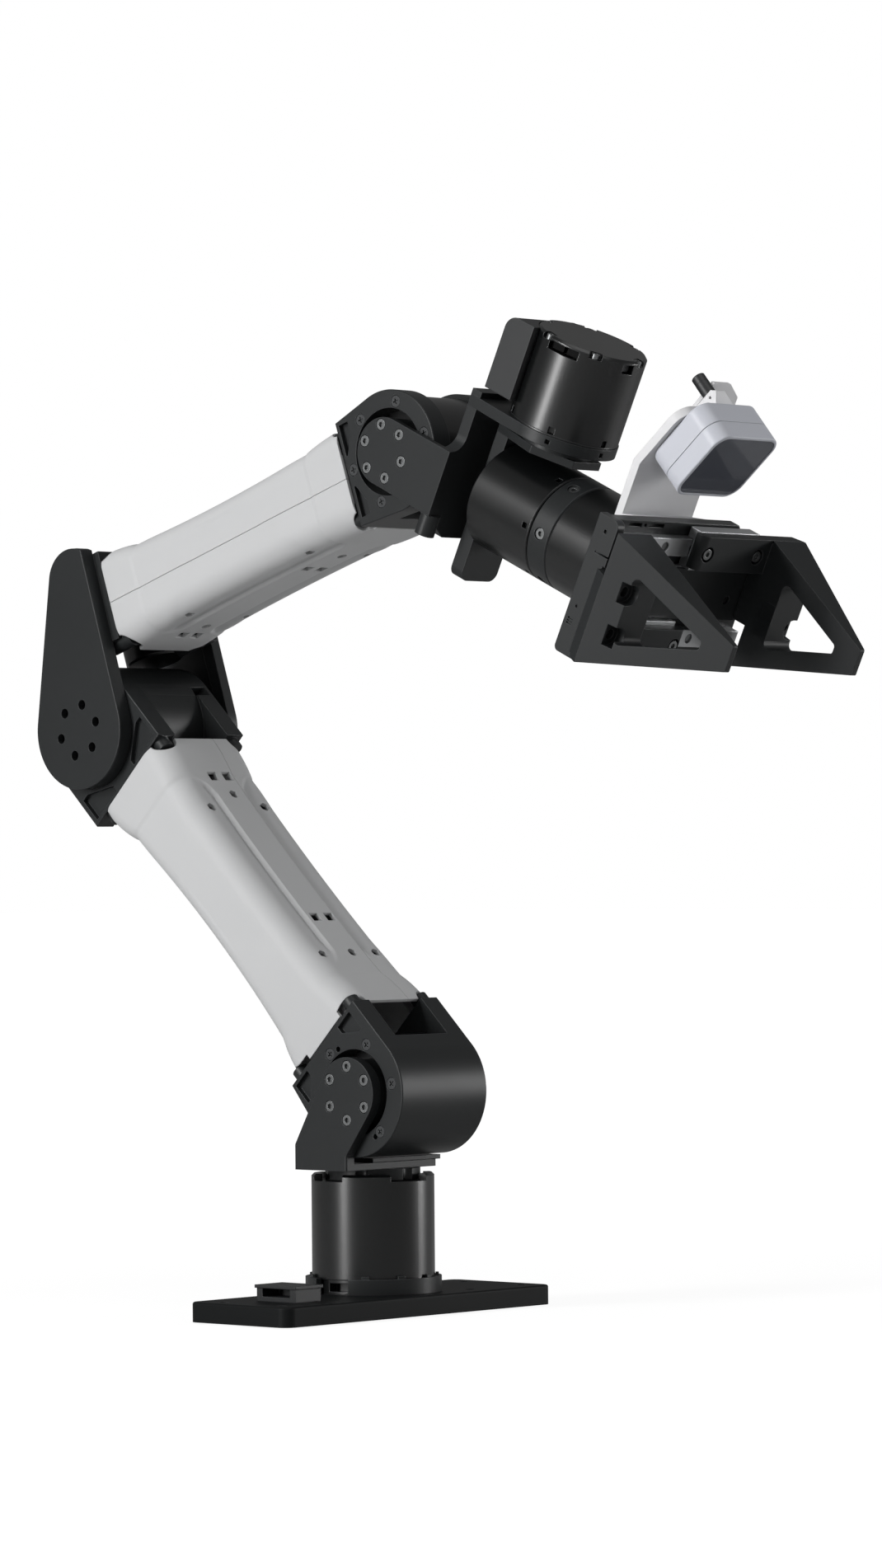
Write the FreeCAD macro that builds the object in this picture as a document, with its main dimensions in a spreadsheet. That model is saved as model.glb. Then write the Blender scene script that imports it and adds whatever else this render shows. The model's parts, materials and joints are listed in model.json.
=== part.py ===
import FreeCAD, Part
import math
import os
import Sketcher

Vector = FreeCAD.Vector
Rotation = FreeCAD.Rotation
Placement = FreeCAD.Placement

os.makedirs("parts", exist_ok=True)
doc = FreeCAD.newDocument("RobotArm")
sheet = doc.addObject("Spreadsheet::Sheet", "Sizes")

# Lengths in millimetres, angles in degrees.
sizes = {
    # Joint places and the pose of the links
    "shoulder_x": 18.5,
    "shoulder_height": 111.4,
    "upper_arm_angle": 135.7,
    "upper_arm_length": 264.0,
    "forearm_angle": 18.4,
    "forearm_length": 245.0,
    "forearm_rise": 60.0,
    "wrist_angle": -25.5,
    "yaw_axis_reach": 77.0,
    "roll_axis_rise": 1.5,
    "camera_angle": -50.5,
    # Running gap between turning faces
    "running_gap": 0.3,
    # Screws
    "head_radius": 2.75,
    "head_height": 3.0,
    "shank_radius": 1.5,
    "shank_length": 9.0,
    "socket_width": 2.5,
    "socket_depth": 1.5,
    "seat_radius": 3.05,
    "seat_depth": 3.1,
    "shank_hole_radius": 1.7,
    "hub_screw_circle": 13.4,
    "flat_head_radius": 2.9,
    "flat_head_height": 1.7,
    "flat_seat_radius": 3.1,
    "flat_seat_depth": 1.8,
    "flat_shank_length": 10.0,
    "cross_length": 3.0,
    "cross_width": 0.7,
    "cross_depth": 0.9,
    "screw_count": 6,
    # Base plate
    "plate_front": 42.0,
    "plate_back": 26.0,
    "plate_right": 107.0,
    "plate_left": 89.0,
    "plate_thick": 10.0,
    "plate_corner": 6.0,
    "plate_edge": 1.2,
    "plate_lobe_radius": 35.0,
    "bolt_row_back": 8.7,
    "bolt_row_front": 30.7,
    "bolt_row_right": 98.6,
    "bolt_row_left": 76.8,
    "bolt_hole_radius": 2.25,
    "side_hole_y": 58.4,
    "side_hole_radius": 1.6,
    "cable_hole_y": 37.7,
    "cable_hole_radius": 2.6,
    # Connector box
    "box_back": 1.5,
    "box_front": 25.0,
    "box_right": 83.0,
    "box_left": 65.0,
    "box_height": 6.6,
    "box_slot_back": 2.4,
    "box_slot_front": 21.0,
    "box_slot_floor": 2.4,
    "box_slot_depth": 12.0,
    "lid_thick": 1.6,
    "lid_overhang": 0.8,
    # Collar and base motor
    "collar_radius": 34.4,
    "collar_height": 8.0,
    "collar_gap_start": 256.0,
    "collar_gap_end": 291.0,
    "collar_tab_rise": 1.5,
    "collar_tab_width": 4.0,
    "collar_tab_angle": 306.0,
    "collar_tab_count": 11,
    "base_motor_radius": 31.0,
    "base_foot_radius": 29.8,
    "base_foot_height": 7.5,
    "base_motor_height": 56.5,
    "base_rim_rise": 3.4,
    "base_rim_inner": 26.5,
    "base_rim_gap_start": 240.0,
    "base_rim_gap_end": 283.0,
    "base_rim_count": 4,
    "base_port_angle": 278.0,
    "base_port_width": 13.0,
    "base_port_floor": 1.5,
    "base_port_height": 4.2,
    "base_port_depth": 8.0,
    "motor_edge": 1.2,
    # Yaw hub and shoulder yoke
    "yaw_hub_radius": 24.0,
    "yaw_hub_height": 5.7,
    "yaw_hub_notch": 4.0,
    "yaw_hub_notch_circle": 26.0,
    "yoke_flange_thick": 3.5,
    "yoke_back": 17.5,
    "yoke_front": 18.0,
    "yoke_right": 38.6,
    "yoke_left": 35.3,
    "yoke_chamfer": 8.0,
    "ear_thick": 5.8,
    "ear_radius": 18.0,
    "ear_back_rise": 11.9,
    "ear_front_rise": 7.9,
    "ear_front_angle": -35.0,
    "ear_back_angle": 151.5,
    "yoke_pad_front": 15.0,
    "yoke_pad_back": 3.0,
    "yoke_pad_right": 4.0,
    "yoke_pad_left": 22.0,
    "yoke_pad_rise": 1.4,
    "yoke_pad_hole": 0.8,
    "yoke_edge": 0.8,
    "hub_radius": 16.6,
    # Shoulder bracket and motor
    "shoulder_near": 32.5,
    "shoulder_far": 30.0,
    "cheek_thick": 12.0,
    "shoulder_radius": 32.4,
    "shoulder_end": 33.0,
    "shoulder_end_back": 28.4,
    "shoulder_low_tangent": -90.0,
    "shoulder_high_tangent": 82.6,
    "barrel_opening": 8.0,
    "motor_radius": 28.5,
    "hub_hole_radius": 21.8,
    "back_cap_radius": 20.8,
    "bracket_screw_circle": 25.4,
    "shoulder_screw_phase": -4.0,
    "dowel_radius": 1.4,
    "dowel_depth": 6.0,
    "dowel_one_x": 23.0,
    "dowel_one_z": -7.7,
    "dowel_two_x": -24.9,
    "dowel_two_z": 5.7,
    "pocket_depth": 2.8,
    "pocket_margin": 2.2,
    "shoulder_pocket_ring": 30.8,
    "shoulder_pocket_edge": 26.5,
    "shoulder_pocket_near_angle": 30.0,
    "shoulder_pocket_far_angle": 52.0,
    "bracket_edge": 0.6,
    "foot_overlap": 0.03,
    "boss_radius": 4.4,
    "boss_length": 5.0,
    "boss_front": 27.0,
    "boss_back": 22.5,
    # Upper arm covers and rods
    "rod_radius": 2.6,
    "rod_y": 25.0,
    "upper_rod_front": 20.0,
    "upper_rod_back": 10.0,
    "cover_wall": 2.2,
    "cover_half_width": 32.0,
    "cover_corner": 9.0,
    "cover_seam_gap": 0.2,
    "cover_end_gap": 0.8,
    "upper_collar_low": 22.2,
    "upper_collar_high": 23.2,
    "upper_front_end": 31.0,
    "upper_front_flare": 28.8,
    "upper_front_waist": 27.0,
    "upper_back_end": 25.0,
    "upper_back_flare": 20.0,
    "upper_back_waist": 16.5,
    "upper_seam_y": 10.0,
    "ridge_y": 16.5,
    "ridge_rise": 0.8,
    "ridge_root": 1.3,
    "ridge_half_width": 1.8,
    "ridge_half_crest": 0.6,
    "notch_radius": 6.2,
    "hex_radius": 2.1,
    "square_half_length": 2.4,
    "square_half_width": 2.6,
    "upper_hex_a_from_end": 45.2,
    "upper_hex_b_from_end": 37.2,
    "upper_hex_c_from_start": 38.2,
    "hex_side_y": 19.5,
    "hex_mid_y": 1.5,
    "upper_square_a_from_end": 24.5,
    "upper_square_b_from_start": 64.7,
    "square_near_y": -4.0,
    "square_far_y": 5.6,
    # Elbow bracket and motor
    "elbow_near": 30.0,
    "elbow_far": 32.7,
    "elbow_radius": 33.0,
    "elbow_end": 38.0,
    "elbow_back_cap_end": 41.5,
    "elbow_opening": 12.0,
    "elbow_low_tangent": -90.0,
    "elbow_high_tangent": 90.0,
    "elbow_pocket_ring": 33.5,
    "elbow_pocket_edge": 30.0,
    "elbow_pocket_near_angle": 16.0,
    "elbow_pocket_far_angle": 50.0,
    # Elbow yoke
    "elbow_cheek_near": 38.7,
    "elbow_cheek_inner": 30.5,
    "elbow_far_inner": 42.0,
    "elbow_far_outer": 48.5,
    "elbow_yoke_radius": 30.8,
    "elbow_yoke_front": 32.0,
    "elbow_yoke_front_top": 88.1,
    "elbow_yoke_tip_x": 29.4,
    "elbow_yoke_tip_z": 89.9,
    "elbow_yoke_corner_x": 11.4,
    "elbow_yoke_corner_z": 95.9,
    "elbow_yoke_corner": 17.0,
    "elbow_yoke_tangent": 155.5,
    "elbow_hole_radius": 2.6,
    "elbow_wall_back": 25.0,
    "elbow_wall_front": 36.0,
    "elbow_wall_low": 38.0,
    "elbow_wall_high": 86.0,
    "elbow_recess_depth": 2.5,
    "elbow_recess_back": -12.0,
    "elbow_recess_front": 24.0,
    "elbow_recess_low": 10.0,
    "elbow_recess_high": 68.0,
    "sunk_head_radius": 2.0,
    "sunk_head_height": 2.0,
    "sunk_shank_radius": 1.0,
    "sunk_depth": 4.5,
    # Forearm covers and rods
    "forearm_rod_low": 44.0,
    "forearm_rod_high": 70.0,
    "forearm_collar_low": 21.2,
    "forearm_collar_high": 24.7,
    "forearm_top_end": 84.5,
    "forearm_top_flare": 82.0,
    "forearm_top_waist": 80.0,
    "forearm_low_end": 31.5,
    "forearm_low_flare": 33.0,
    "forearm_low_waist": 34.0,
    "forearm_seam": 57.0,
    "forearm_half_width": 31.5,
    "forearm_hex_a_from_start": 43.2,
    "forearm_hex_b_from_start": 31.2,
    "forearm_hex_c_from_end": 44.2,
    "forearm_square_a_from_start": 19.2,
    "forearm_square_b_from_end": 63.7,
    "forearm_boss_y": 24.0,
    "forearm_boss_low": 37.0,
    "forearm_boss_high": 79.0,
    # Wrist bracket and motor
    "wrist_side": 30.5,
    "wrist_radius": 31.0,
    "wrist_end": 29.5,
    "wrist_end_low": 28.5,
    "wrist_end_high": 26.5,
    "wrist_low_tangent": -95.0,
    "wrist_high_tangent": 99.5,
    "wrist_solid_to": 14.0,
    "wrist_screw_circle": 25.2,
    "wrist_pocket_ring": 27.6,
    "wrist_pocket_edge": 24.5,
    "wrist_pocket_near_angle": 17.0,
    "wrist_pocket_far_angle": 40.0,
    # Wrist yoke
    "tongue_outer": 34.8,
    "tongue_inner": 31.0,
    "tongue_half": 17.0,
    "tongue_radius": 17.0,
    "wall_back": 35.5,
    "wall_front": 42.0,
    "wall_near": 26.0,
    "wall_top": 49.0,
    "wall_low": 28.0,
    "wall_low_near": 20.0,
    "wall_fillet": 8.0,
    "clamp_low": 40.2,
    "clamp_high": 45.9,
    "clamp_radius": 28.5,
    "clamp_hole_radius": 14.0,
    "yoke_boss_radius": 5.0,
    "yoke_boss_x": 38.8,
    "yoke_boss_y": 29.6,
    # Wrist yaw motor
    "small_motor_radius": 28.0,
    "yaw_ring_top": 46.9,
    "yaw_motor_top": 92.1,
    "yaw_box_back": 33.0,
    "yaw_box_front": 15.0,
    "yaw_box_low": 53.0,
    "yaw_box_high": 91.5,
    "yaw_box_near": 28.0,
    "yaw_box_far": 14.0,
    "yaw_box_corner": 7.0,
    "wide_window_half": 8.7,
    "wide_window_angle": 282.0,
    "small_window_half": 3.6,
    "small_window_angle": 356.5,
    "window_low": 85.5,
    "window_high": 90.1,
    "window_depth": 8.0,
    "can_notch_half": 1.6,
    "can_notch_height": 3.6,
    "can_notch_depth": 2.0,
    "can_notch_angle": -1.5,
    "rim_notch_half": 3.2,
    "rim_notch_height": 3.0,
    "rim_notch_depth": 4.2,
    "rim_notch_angle": -43.0,
    "clamp_pocket_half": 1.15,
    "clamp_pocket_depth": 3.5,
    "clamp_pocket_low": 41.9,
    "clamp_pocket_high": 44.2,
    "disc_radius": 18.4,
    "disc_low": 36.0,
    "disc_high": 39.9,
    "disc_neck_radius": 13.4,
    "disc_neck_top": 45.5,
    # Roll link and roll motor
    "link_flange_low": 32.0,
    "link_flange_radius": 19.0,
    "link_tip_x": 97.0,
    "link_tip_near": 8.0,
    "link_tip_far": 12.0,
    "link_back": 48.0,
    "link_front": 56.0,
    "link_half_width": 13.0,
    "link_low": 45.0,
    "link_corner": 5.0,
    "roll_motor_end": 100.1,
    "roll_motor_chamfer": 1.5,
    # Gripper drive
    "ring_start": 100.5,
    "ring_end": 113.8,
    "ring_groove": 0.8,
    "ring_screw_x": 107.0,
    "ring_screw_sink": 0.7,
    "gripper_motor_end": 166.5,
    # Gripper frame
    "frame_thick": 6.0,
    "frame_near": 57.0,
    "frame_far": 57.0,
    "frame_low": 33.5,
    "frame_high": 34.5,
    "frame_chamfer": 22.0,
    "frame_slot_low": 31.0,
    "frame_slot_high": 33.2,
    "outer_slot_start": -46.0,
    "outer_slot_end": -36.5,
    "inner_slot_start": -31.0,
    "inner_slot_end": -20.0,
    "frame_dot_radius": 0.9,
    "end_plate_thick": 5.0,
    "end_plate_front": 178.5,
    "end_plate_low": 31.5,
    "end_plate_high": 35.5,
    "lug_front": 180.0,
    "lug_low": 12.5,
    "lug_hole_radius": 1.0,
    "lug_hole_x": 173.3,
    "lug_hole_z": 28.1,
    "rail_v": 23.5,
    "rail_half_width": 4.5,
    "rail_height": 5.0,
    "rail_half_length": 56.0,
    "rail_screw_pitch": 20.4,
    "rail_screw_radius": 2.2,
    "rail_screw_sink": 2.0,
    "gear_cover_back": 176.5,
    "gear_cover_front": 178.2,
    "gear_cover_half": 13.0,
    "gear_cover_side": 48.5,
    "gear_cover_post_y": 44.5,
    "gear_cover_post_radius": 2.4,
    "gear_cover_hole_y": 37.5,
    "gear_cover_hole_z": -2.5,
    "gear_cover_hole_radius": 2.2,
    # Rack and pinion
    "gear_module": 1.0,
    "pinion_teeth": 20,
    "gear_backlash": 0.3,
    "pressure_angle": 20.0,
    "tooth_rise": 0.9,
    "tooth_root": 1.25,
    "pinion_back": 173.0,
    "pinion_front": 176.0,
    "pinion_shaft_radius": 4.0,
    "pinion_shaft_back": 162.0,
    "rack_tooth_count": 18,
    "rack_first_tooth": -1.5,
    "rack_inner": 6.0,
    "rack_outer": 52.0,
    "carriage_inner": 2.0,
    "carriage_outer": 42.0,
    "carriage_back": 174.0,
    "carriage_front": 181.0,
    "carriage_half": 10.0,
    # Fingers
    "finger_open": 46.0,
    "finger_outer": 70.0,
    "finger_tip_outer": 49.2,
    "finger_base": 187.5,
    "finger_tip": 258.5,
    "finger_base_half": 33.2,
    "finger_tip_half": 6.65,
    "finger_window_back": 202.0,
    "finger_window_half": 18.0,
    "finger_window_tip": 243.0,
    "finger_window_tip_half": 2.2,
    "finger_pocket_back": 191.0,
    "finger_pocket_low": 4.5,
    "finger_pocket_high": 14.5,
    "finger_window_corner": 3.0,
    "finger_tip_corner": 1.8,
    "finger_chamfer_along": 8.5,
    "finger_chamfer_in": 4.5,
    "finger_edge": 1.2,
    "arm_front": 187.0,
    "arm_inner": 5.0,
    "arm_low": 15.5,
    "arm_high": 33.5,
    "arm_corner": 4.0,
    "arm_hole_one": 1.0,
    "arm_hole_two": 38.0,
    "arm_hole_v": 24.0,
    "finger_seat_radius": 4.0,
    "finger_seat_depth": 3.3,
    "block_back": 179.0,
    "block_low": 11.5,
    "block_high": 31.5,
    # Camera and bracket
    "bracket_front": 150.5,
    "bracket_half_width": 26.0,
    "bracket_foot_low": 24.0,
    "bracket_heel_top": 29.2,
    "bracket_toe_top": 33.8,
    "bracket_bend": 55.0,
    "bracket_lean_length": 36.5,
    "bracket_thick": 4.5,
    "bracket_corner": 9.0,
    "camera_seat_gap": 0.1,
    "camera_back_depth": 12.5,
    "camera_depth": 22.9,
    "camera_split_gap": 0.3,
    "camera_low": 118.5,
    "camera_high": 159.8,
    "camera_y": -0.5,
    "camera_half_width": 23.0,
    "camera_corner": 8.5,
    "camera_edge": 1.5,
    "window_margin": 1.6,
    "window_sink": 0.8,
    "window_proud": 0.3,
    "clip_back": 100.2,
    "clip_foot": 137.0,
    "clip_front": 110.7,
    "clip_peak_front": 102.7,
    "clip_back_top": 155.4,
    "clip_top": 157.8,
    "clip_near": -0.7,
    "clip_far": 18.3,
    "clip_peak_far": 5.7,
    "clip_slope_low": 150.0,
    "clip_hole_radius": 0.7,
    "clip_hole_x": 102.8,
    "clip_hole_low": 139.5,
    "clip_hole_high": 152.8,
    "clip_hole_depth": 3.0,
    "tab_reach": 4.0,
    "tab_low": 142.0,
    "tab_high": 153.0,
    "tab_front": 131.0,
    "tab_gap": 0.4,
    "plug_radius": 3.5,
    "plug_length": 8.5,
    "plug_seat": 2.8,
    "plug_gap": 0.1,
    "plug_height": 150.8,
    "plug_y": 4.0,
}

row = 1
for name, value in sizes.items():
    sheet.set("A" + str(row), name)
    sheet.set("B" + str(row), str(value))
    sheet.setAlias("B" + str(row), name)
    row = row + 1
doc.recompute()


# A size knows its number and the words that bind it to the sheet.
class Size:
    def __init__(self, text, value):
        self.text = text
        self.value = float(value)

    def __add__(self, other):
        return Size("(" + self.text + " + " + sized(other).text + ")", self.value + sized(other).value)

    def __sub__(self, other):
        return Size("(" + self.text + " - " + sized(other).text + ")", self.value - sized(other).value)

    def __mul__(self, other):
        return Size("(" + self.text + " * " + sized(other).text + ")", self.value * sized(other).value)

    def __truediv__(self, other):
        return Size("(" + self.text + " / " + sized(other).text + ")", self.value / sized(other).value)

    def __neg__(self):
        return Size("(0 - " + self.text + ")", -self.value)


class Named:
    def __getattr__(self, name):
        return Size("Sizes." + name, sheet.get(name))


S = Named()


def sized(item):
    if isinstance(item, Size):
        return item
    return Size("(" + str(float(item)) + ")", item)


def cosine(angle):
    return Size("cos(" + sized(angle).text + " * 1 deg)", math.cos(math.radians(sized(angle).value)))


def sine(angle):
    return Size("sin(" + sized(angle).text + " * 1 deg)", math.sin(math.radians(sized(angle).value)))


# Link frames: X along the link, Y to the far side, Z across it.
def frame_at(base, forward, rise, angle):
    point = base.multVec(Vector(forward.value, 0, rise.value))
    return Placement(point, Rotation(Vector(0, 1, 0), -angle.value))


zero = sized(0)
quarter = sized(90)
world = Placement()
shoulder_axis = frame_at(world, S.shoulder_x, S.shoulder_height, zero)
upper_arm = frame_at(world, S.shoulder_x, S.shoulder_height, S.upper_arm_angle)
elbow = frame_at(upper_arm, S.upper_arm_length, zero, S.upper_arm_angle)
forearm = frame_at(upper_arm, S.upper_arm_length, zero, S.forearm_angle)
wrist_end = frame_at(forearm, S.forearm_length, S.forearm_rise, S.forearm_angle)
wrist = frame_at(forearm, S.forearm_length, S.forearm_rise, S.wrist_angle)
wrist_yaw = frame_at(wrist, S.yaw_axis_reach, zero, S.wrist_angle)
roll = frame_at(wrist, zero, S.roll_axis_rise, S.wrist_angle)
far_roll = roll.multiply(Placement(Vector(), Rotation(Vector(1, 0, 0), 180)))
camera = frame_at(wrist, zero, zero, S.camera_angle)

pieces = []


def begin(name, frame):
    part = doc.addObject("PartDesign::Body", name)
    part.Label = name
    part.Placement = frame
    pieces.append(part)
    return part


def group(name, frame, solids):
    part = doc.addObject("Part::Feature", name)
    part.Label = name
    part.Shape = Part.makeCompound(solids)
    part.Placement = frame
    pieces.append(part)
    return part


def origin_of(part, role):
    for feature in part.Origin.OriginFeatures:
        if feature.Role == role:
            return feature


def bind(thing, path, size):
    thing.setExpression(path, sized(size).text)


def sketch_on(part, name, plane, offset):
    sketch = part.newObject("Sketcher::SketchObject", name)
    sketch.AttachmentSupport = [(origin_of(part, plane + "_Plane"), "")]
    sketch.MapMode = "FlatFace"
    bind(sketch, "AttachmentOffset.Base.z", offset)
    return sketch


def fix(sketch, item, place, kind, size):
    rule = Sketcher.Constraint(kind, -1, 1, item, place, sized(size).value)
    number = sketch.addConstraint(rule)
    bind(sketch, "Constraints[" + str(number) + "]", size)


def fix_radius(sketch, item, size):
    number = sketch.addConstraint(Sketcher.Constraint("Radius", item, sized(size).value))
    bind(sketch, "Constraints[" + str(number) + "]", size)


def flat(point):
    return Vector(sized(point[0]).value, sized(point[1]).value, 0)


# Closed outline of straight sides through the points.
def draw(sketch, points):
    count = len(points)
    first = sketch.GeometryCount
    for index in range(count):
        line = Part.LineSegment(flat(points[index]), flat(points[(index + 1) % count]))
        sketch.addGeometry(line, False)
    for index in range(count):
        following = (index + 1) % count
        sketch.addConstraint(Sketcher.Constraint("Coincident", first + index, 2, first + following, 1))
    for index in range(count):
        fix(sketch, first + index, 1, "DistanceX", points[index][0])
        fix(sketch, first + index, 1, "DistanceY", points[index][1])


def draw_circles(sketch, centres, radius):
    for centre in centres:
        circle = Part.Circle(flat(centre), Vector(0, 0, 1), sized(radius).value)
        item = sketch.addGeometry(circle, False)
        fix(sketch, item, 3, "DistanceX", centre[0])
        fix(sketch, item, 3, "DistanceY", centre[1])
        fix_radius(sketch, item, radius)


# Rectangle whose four corners are arcs of one radius.
def draw_rounded(sketch, left, right, low, high, corner):
    ends = [
        (left + corner, low),
        (right - corner, low),
        (right, low + corner),
        (right, high - corner),
        (right - corner, high),
        (left + corner, high),
        (left, high - corner),
        (left, low + corner),
    ]
    middles = [
        (right - corner, low + corner),
        (right - corner, high - corner),
        (left + corner, high - corner),
        (left + corner, low + corner),
    ]
    for side in range(4):
        start = flat(ends[2 * side])
        finish = flat(ends[2 * side + 1])
        sketch.addGeometry(Part.LineSegment(start, finish), False)
        circle = Part.Circle(flat(middles[side]), Vector(0, 0, 1), sized(corner).value)
        turn_from = math.radians(90 * side - 90)
        sketch.addGeometry(Part.ArcOfCircle(circle, turn_from, turn_from + math.pi / 2), False)
    for side in range(4):
        line = 2 * side
        arc = line + 1
        sketch.addConstraint(Sketcher.Constraint("Coincident", line, 2, arc, 1))
        sketch.addConstraint(Sketcher.Constraint("Coincident", arc, 2, (line + 2) % 8, 1))
        fix(sketch, line, 1, "DistanceX", ends[line][0])
        fix(sketch, line, 1, "DistanceY", ends[line][1])
        fix(sketch, line, 2, "DistanceX", ends[arc][0])
        fix(sketch, line, 2, "DistanceY", ends[arc][1])
        fix_radius(sketch, arc, corner)


def add_offset(plane, low, high):
    if plane == "XZ":
        return -sized(high)
    return low


def cut_offset(plane, low, high):
    if plane == "XZ":
        return -sized(low)
    return high


def sweep(part, name, kind, sketch, low, high):
    feature = part.newObject("PartDesign::" + kind, name)
    feature.Profile = sketch
    bind(feature, "Length", sized(high) - low)
    part.Tip = feature
    return feature


def pad(part, name, plane, low, high, points):
    sketch = sketch_on(part, name + "_outline", plane, add_offset(plane, low, high))
    draw(sketch, points)
    return sweep(part, name, "Pad", sketch, low, high)


def cut(part, name, plane, low, high, points):
    sketch = sketch_on(part, name + "_outline", plane, cut_offset(plane, low, high))
    draw(sketch, points)
    return sweep(part, name, "Pocket", sketch, low, high)


def cut_many(part, name, plane, low, high, outlines):
    sketch = sketch_on(part, name + "_outline", plane, cut_offset(plane, low, high))
    for points in outlines:
        draw(sketch, points)
    return sweep(part, name, "Pocket", sketch, low, high)


def post(part, name, plane, low, high, centres, radius):
    sketch = sketch_on(part, name + "_outline", plane, add_offset(plane, low, high))
    draw_circles(sketch, centres, radius)
    return sweep(part, name, "Pad", sketch, low, high)


def bore(part, name, plane, low, high, centres, radius):
    sketch = sketch_on(part, name + "_outline", plane, cut_offset(plane, low, high))
    draw_circles(sketch, centres, radius)
    return sweep(part, name, "Pocket", sketch, low, high)


def rounded_pad(part, name, plane, low, high, left, right, bottom, top, corner):
    sketch = sketch_on(part, name + "_outline", plane, add_offset(plane, low, high))
    draw_rounded(sketch, left, right, bottom, top, corner)
    return sweep(part, name, "Pad", sketch, low, high)


def rounded_cut(part, name, plane, low, high, left, right, bottom, top, corner):
    sketch = sketch_on(part, name + "_outline", plane, cut_offset(plane, low, high))
    draw_rounded(sketch, left, right, bottom, top, corner)
    return sweep(part, name, "Pocket", sketch, low, high)


# Outline of a slot that looks outward at an angle
def slot_points(angle, half, inner, outer):
    out_x = cosine(angle)
    out_y = sine(angle)
    return [
        (out_x * inner - out_y * half, out_y * inner + out_x * half),
        (out_x * inner + out_y * half, out_y * inner - out_x * half),
        (out_x * outer + out_y * half, out_y * outer - out_x * half),
        (out_x * outer - out_y * half, out_y * outer + out_x * half),
    ]


# Turned piece: the outline goes round the sketch's own upright or level axis.
def turn(part, name, plane, axis, points):
    sketch = sketch_on(part, name + "_outline", plane, 0)
    draw(sketch, points)
    feature = part.newObject("PartDesign::Revolution", name)
    feature.Profile = sketch
    feature.ReferenceAxis = (sketch, [axis])
    feature.Angle = 360
    part.Tip = feature
    return feature


def around(part, name, feature, axis, count):
    pattern = part.newObject("PartDesign::PolarPattern", name)
    pattern.Originals = [feature]
    pattern.Axis = (origin_of(part, axis), [""])
    pattern.Angle = 360
    bind(pattern, "Occurrences", count)
    part.Tip = pattern
    return pattern


def soften(part, name, kind, radius, chosen):
    doc.recompute()
    base = part.Tip
    edges = []
    for number, edge in enumerate(base.Shape.Edges, 1):
        if chosen(edge):
            edges.append("Edge" + str(number))
    feature = part.newObject("PartDesign::" + kind, name)
    feature.Base = (base, edges)
    size_name = "Radius"
    if kind == "Chamfer":
        size_name = "Size"
    bind(feature, size_name, radius)
    part.Tip = feature
    return feature


def box(left, right, low, high):
    return [(left, low), (right, low), (right, high), (left, high)]


def circle_points(count, radius, phase):
    points = []
    for index in range(int(count.value)):
        angle = phase + sized(360) / count * index
        points.append((radius * cosine(angle), radius * sine(angle)))
    return points


def near_value(value, size):
    return abs(value - sized(size).value) < 0.02


def along(edge, axis):
    if len(edge.Vertexes) < 2 or edge.Curve.TypeId != "Part::GeomLine":
        return False
    step = edge.Vertexes[1].Point - edge.Vertexes[0].Point
    return abs(abs(step.normalize().dot(axis)) - 1) < 0.001


def at_point(edge, first, second, axes):
    middle = edge.CenterOfMass
    return near_value(getattr(middle, axes[0]), first) and near_value(getattr(middle, axes[1]), second)


# Socket screw with its head at the point, shank along the direction.
def socket_screw(point, direction, head_radius, head_height, shank_radius, shank_length):
    head = Part.makeCylinder(head_radius.value, head_height.value, point, direction)
    shank_start = point + direction * head_height.value
    shank = Part.makeCylinder(shank_radius.value, shank_length.value, shank_start, direction)
    corners = []
    across = direction.cross(Vector(0.31, 0.57, 0.76)).normalize()
    upward = direction.cross(across)
    reach = S.socket_width.value / math.sqrt(3)
    for index in range(7):
        angle = math.radians(60 * index)
        corners.append(point + across * reach * math.cos(angle) + upward * reach * math.sin(angle))
    socket = Part.Face(Part.makePolygon(corners)).extrude(direction * S.socket_depth.value)
    return head.fuse(shank).removeSplitter().cut(socket)


# Flat-headed screw with a cross in its head.
def cross_screw(point, direction):
    head = Part.makeCylinder(S.flat_head_radius.value, S.flat_head_height.value, point, direction)
    shank_start = point + direction * S.flat_head_height.value
    shank = Part.makeCylinder(S.shank_radius.value, S.flat_shank_length.value, shank_start, direction)
    screw = head.fuse(shank).removeSplitter()
    long_side = S.cross_length.value
    short_side = S.cross_width.value
    deep = S.cross_depth.value
    for length, width in ((long_side, short_side), (short_side, long_side)):
        corner = point - Vector(length / 2, 0, width / 2)
        slot = Part.makeBox(length, deep, width, corner)
        screw = screw.cut(slot)
    return screw


def screws_on_circle(name, frame, outer, radius, phase, maker):
    solids = []
    for across, rise in circle_points(S.screw_count, radius, phase):
        solids.append(maker(Vector(across.value, outer.value, rise.value)))
    return group(name, frame, solids)


toward_far = Vector(0, 1, 0)


def hub_screw(point):
    return socket_screw(point, toward_far, S.head_radius, S.head_height, S.shank_radius, S.shank_length)


def sunk_screw(point):
    return socket_screw(
        point, toward_far, S.sunk_head_radius, S.sunk_head_height, S.sunk_shank_radius, S.shank_length)


def flat_screw(point):
    return cross_screw(point, toward_far)


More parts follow.
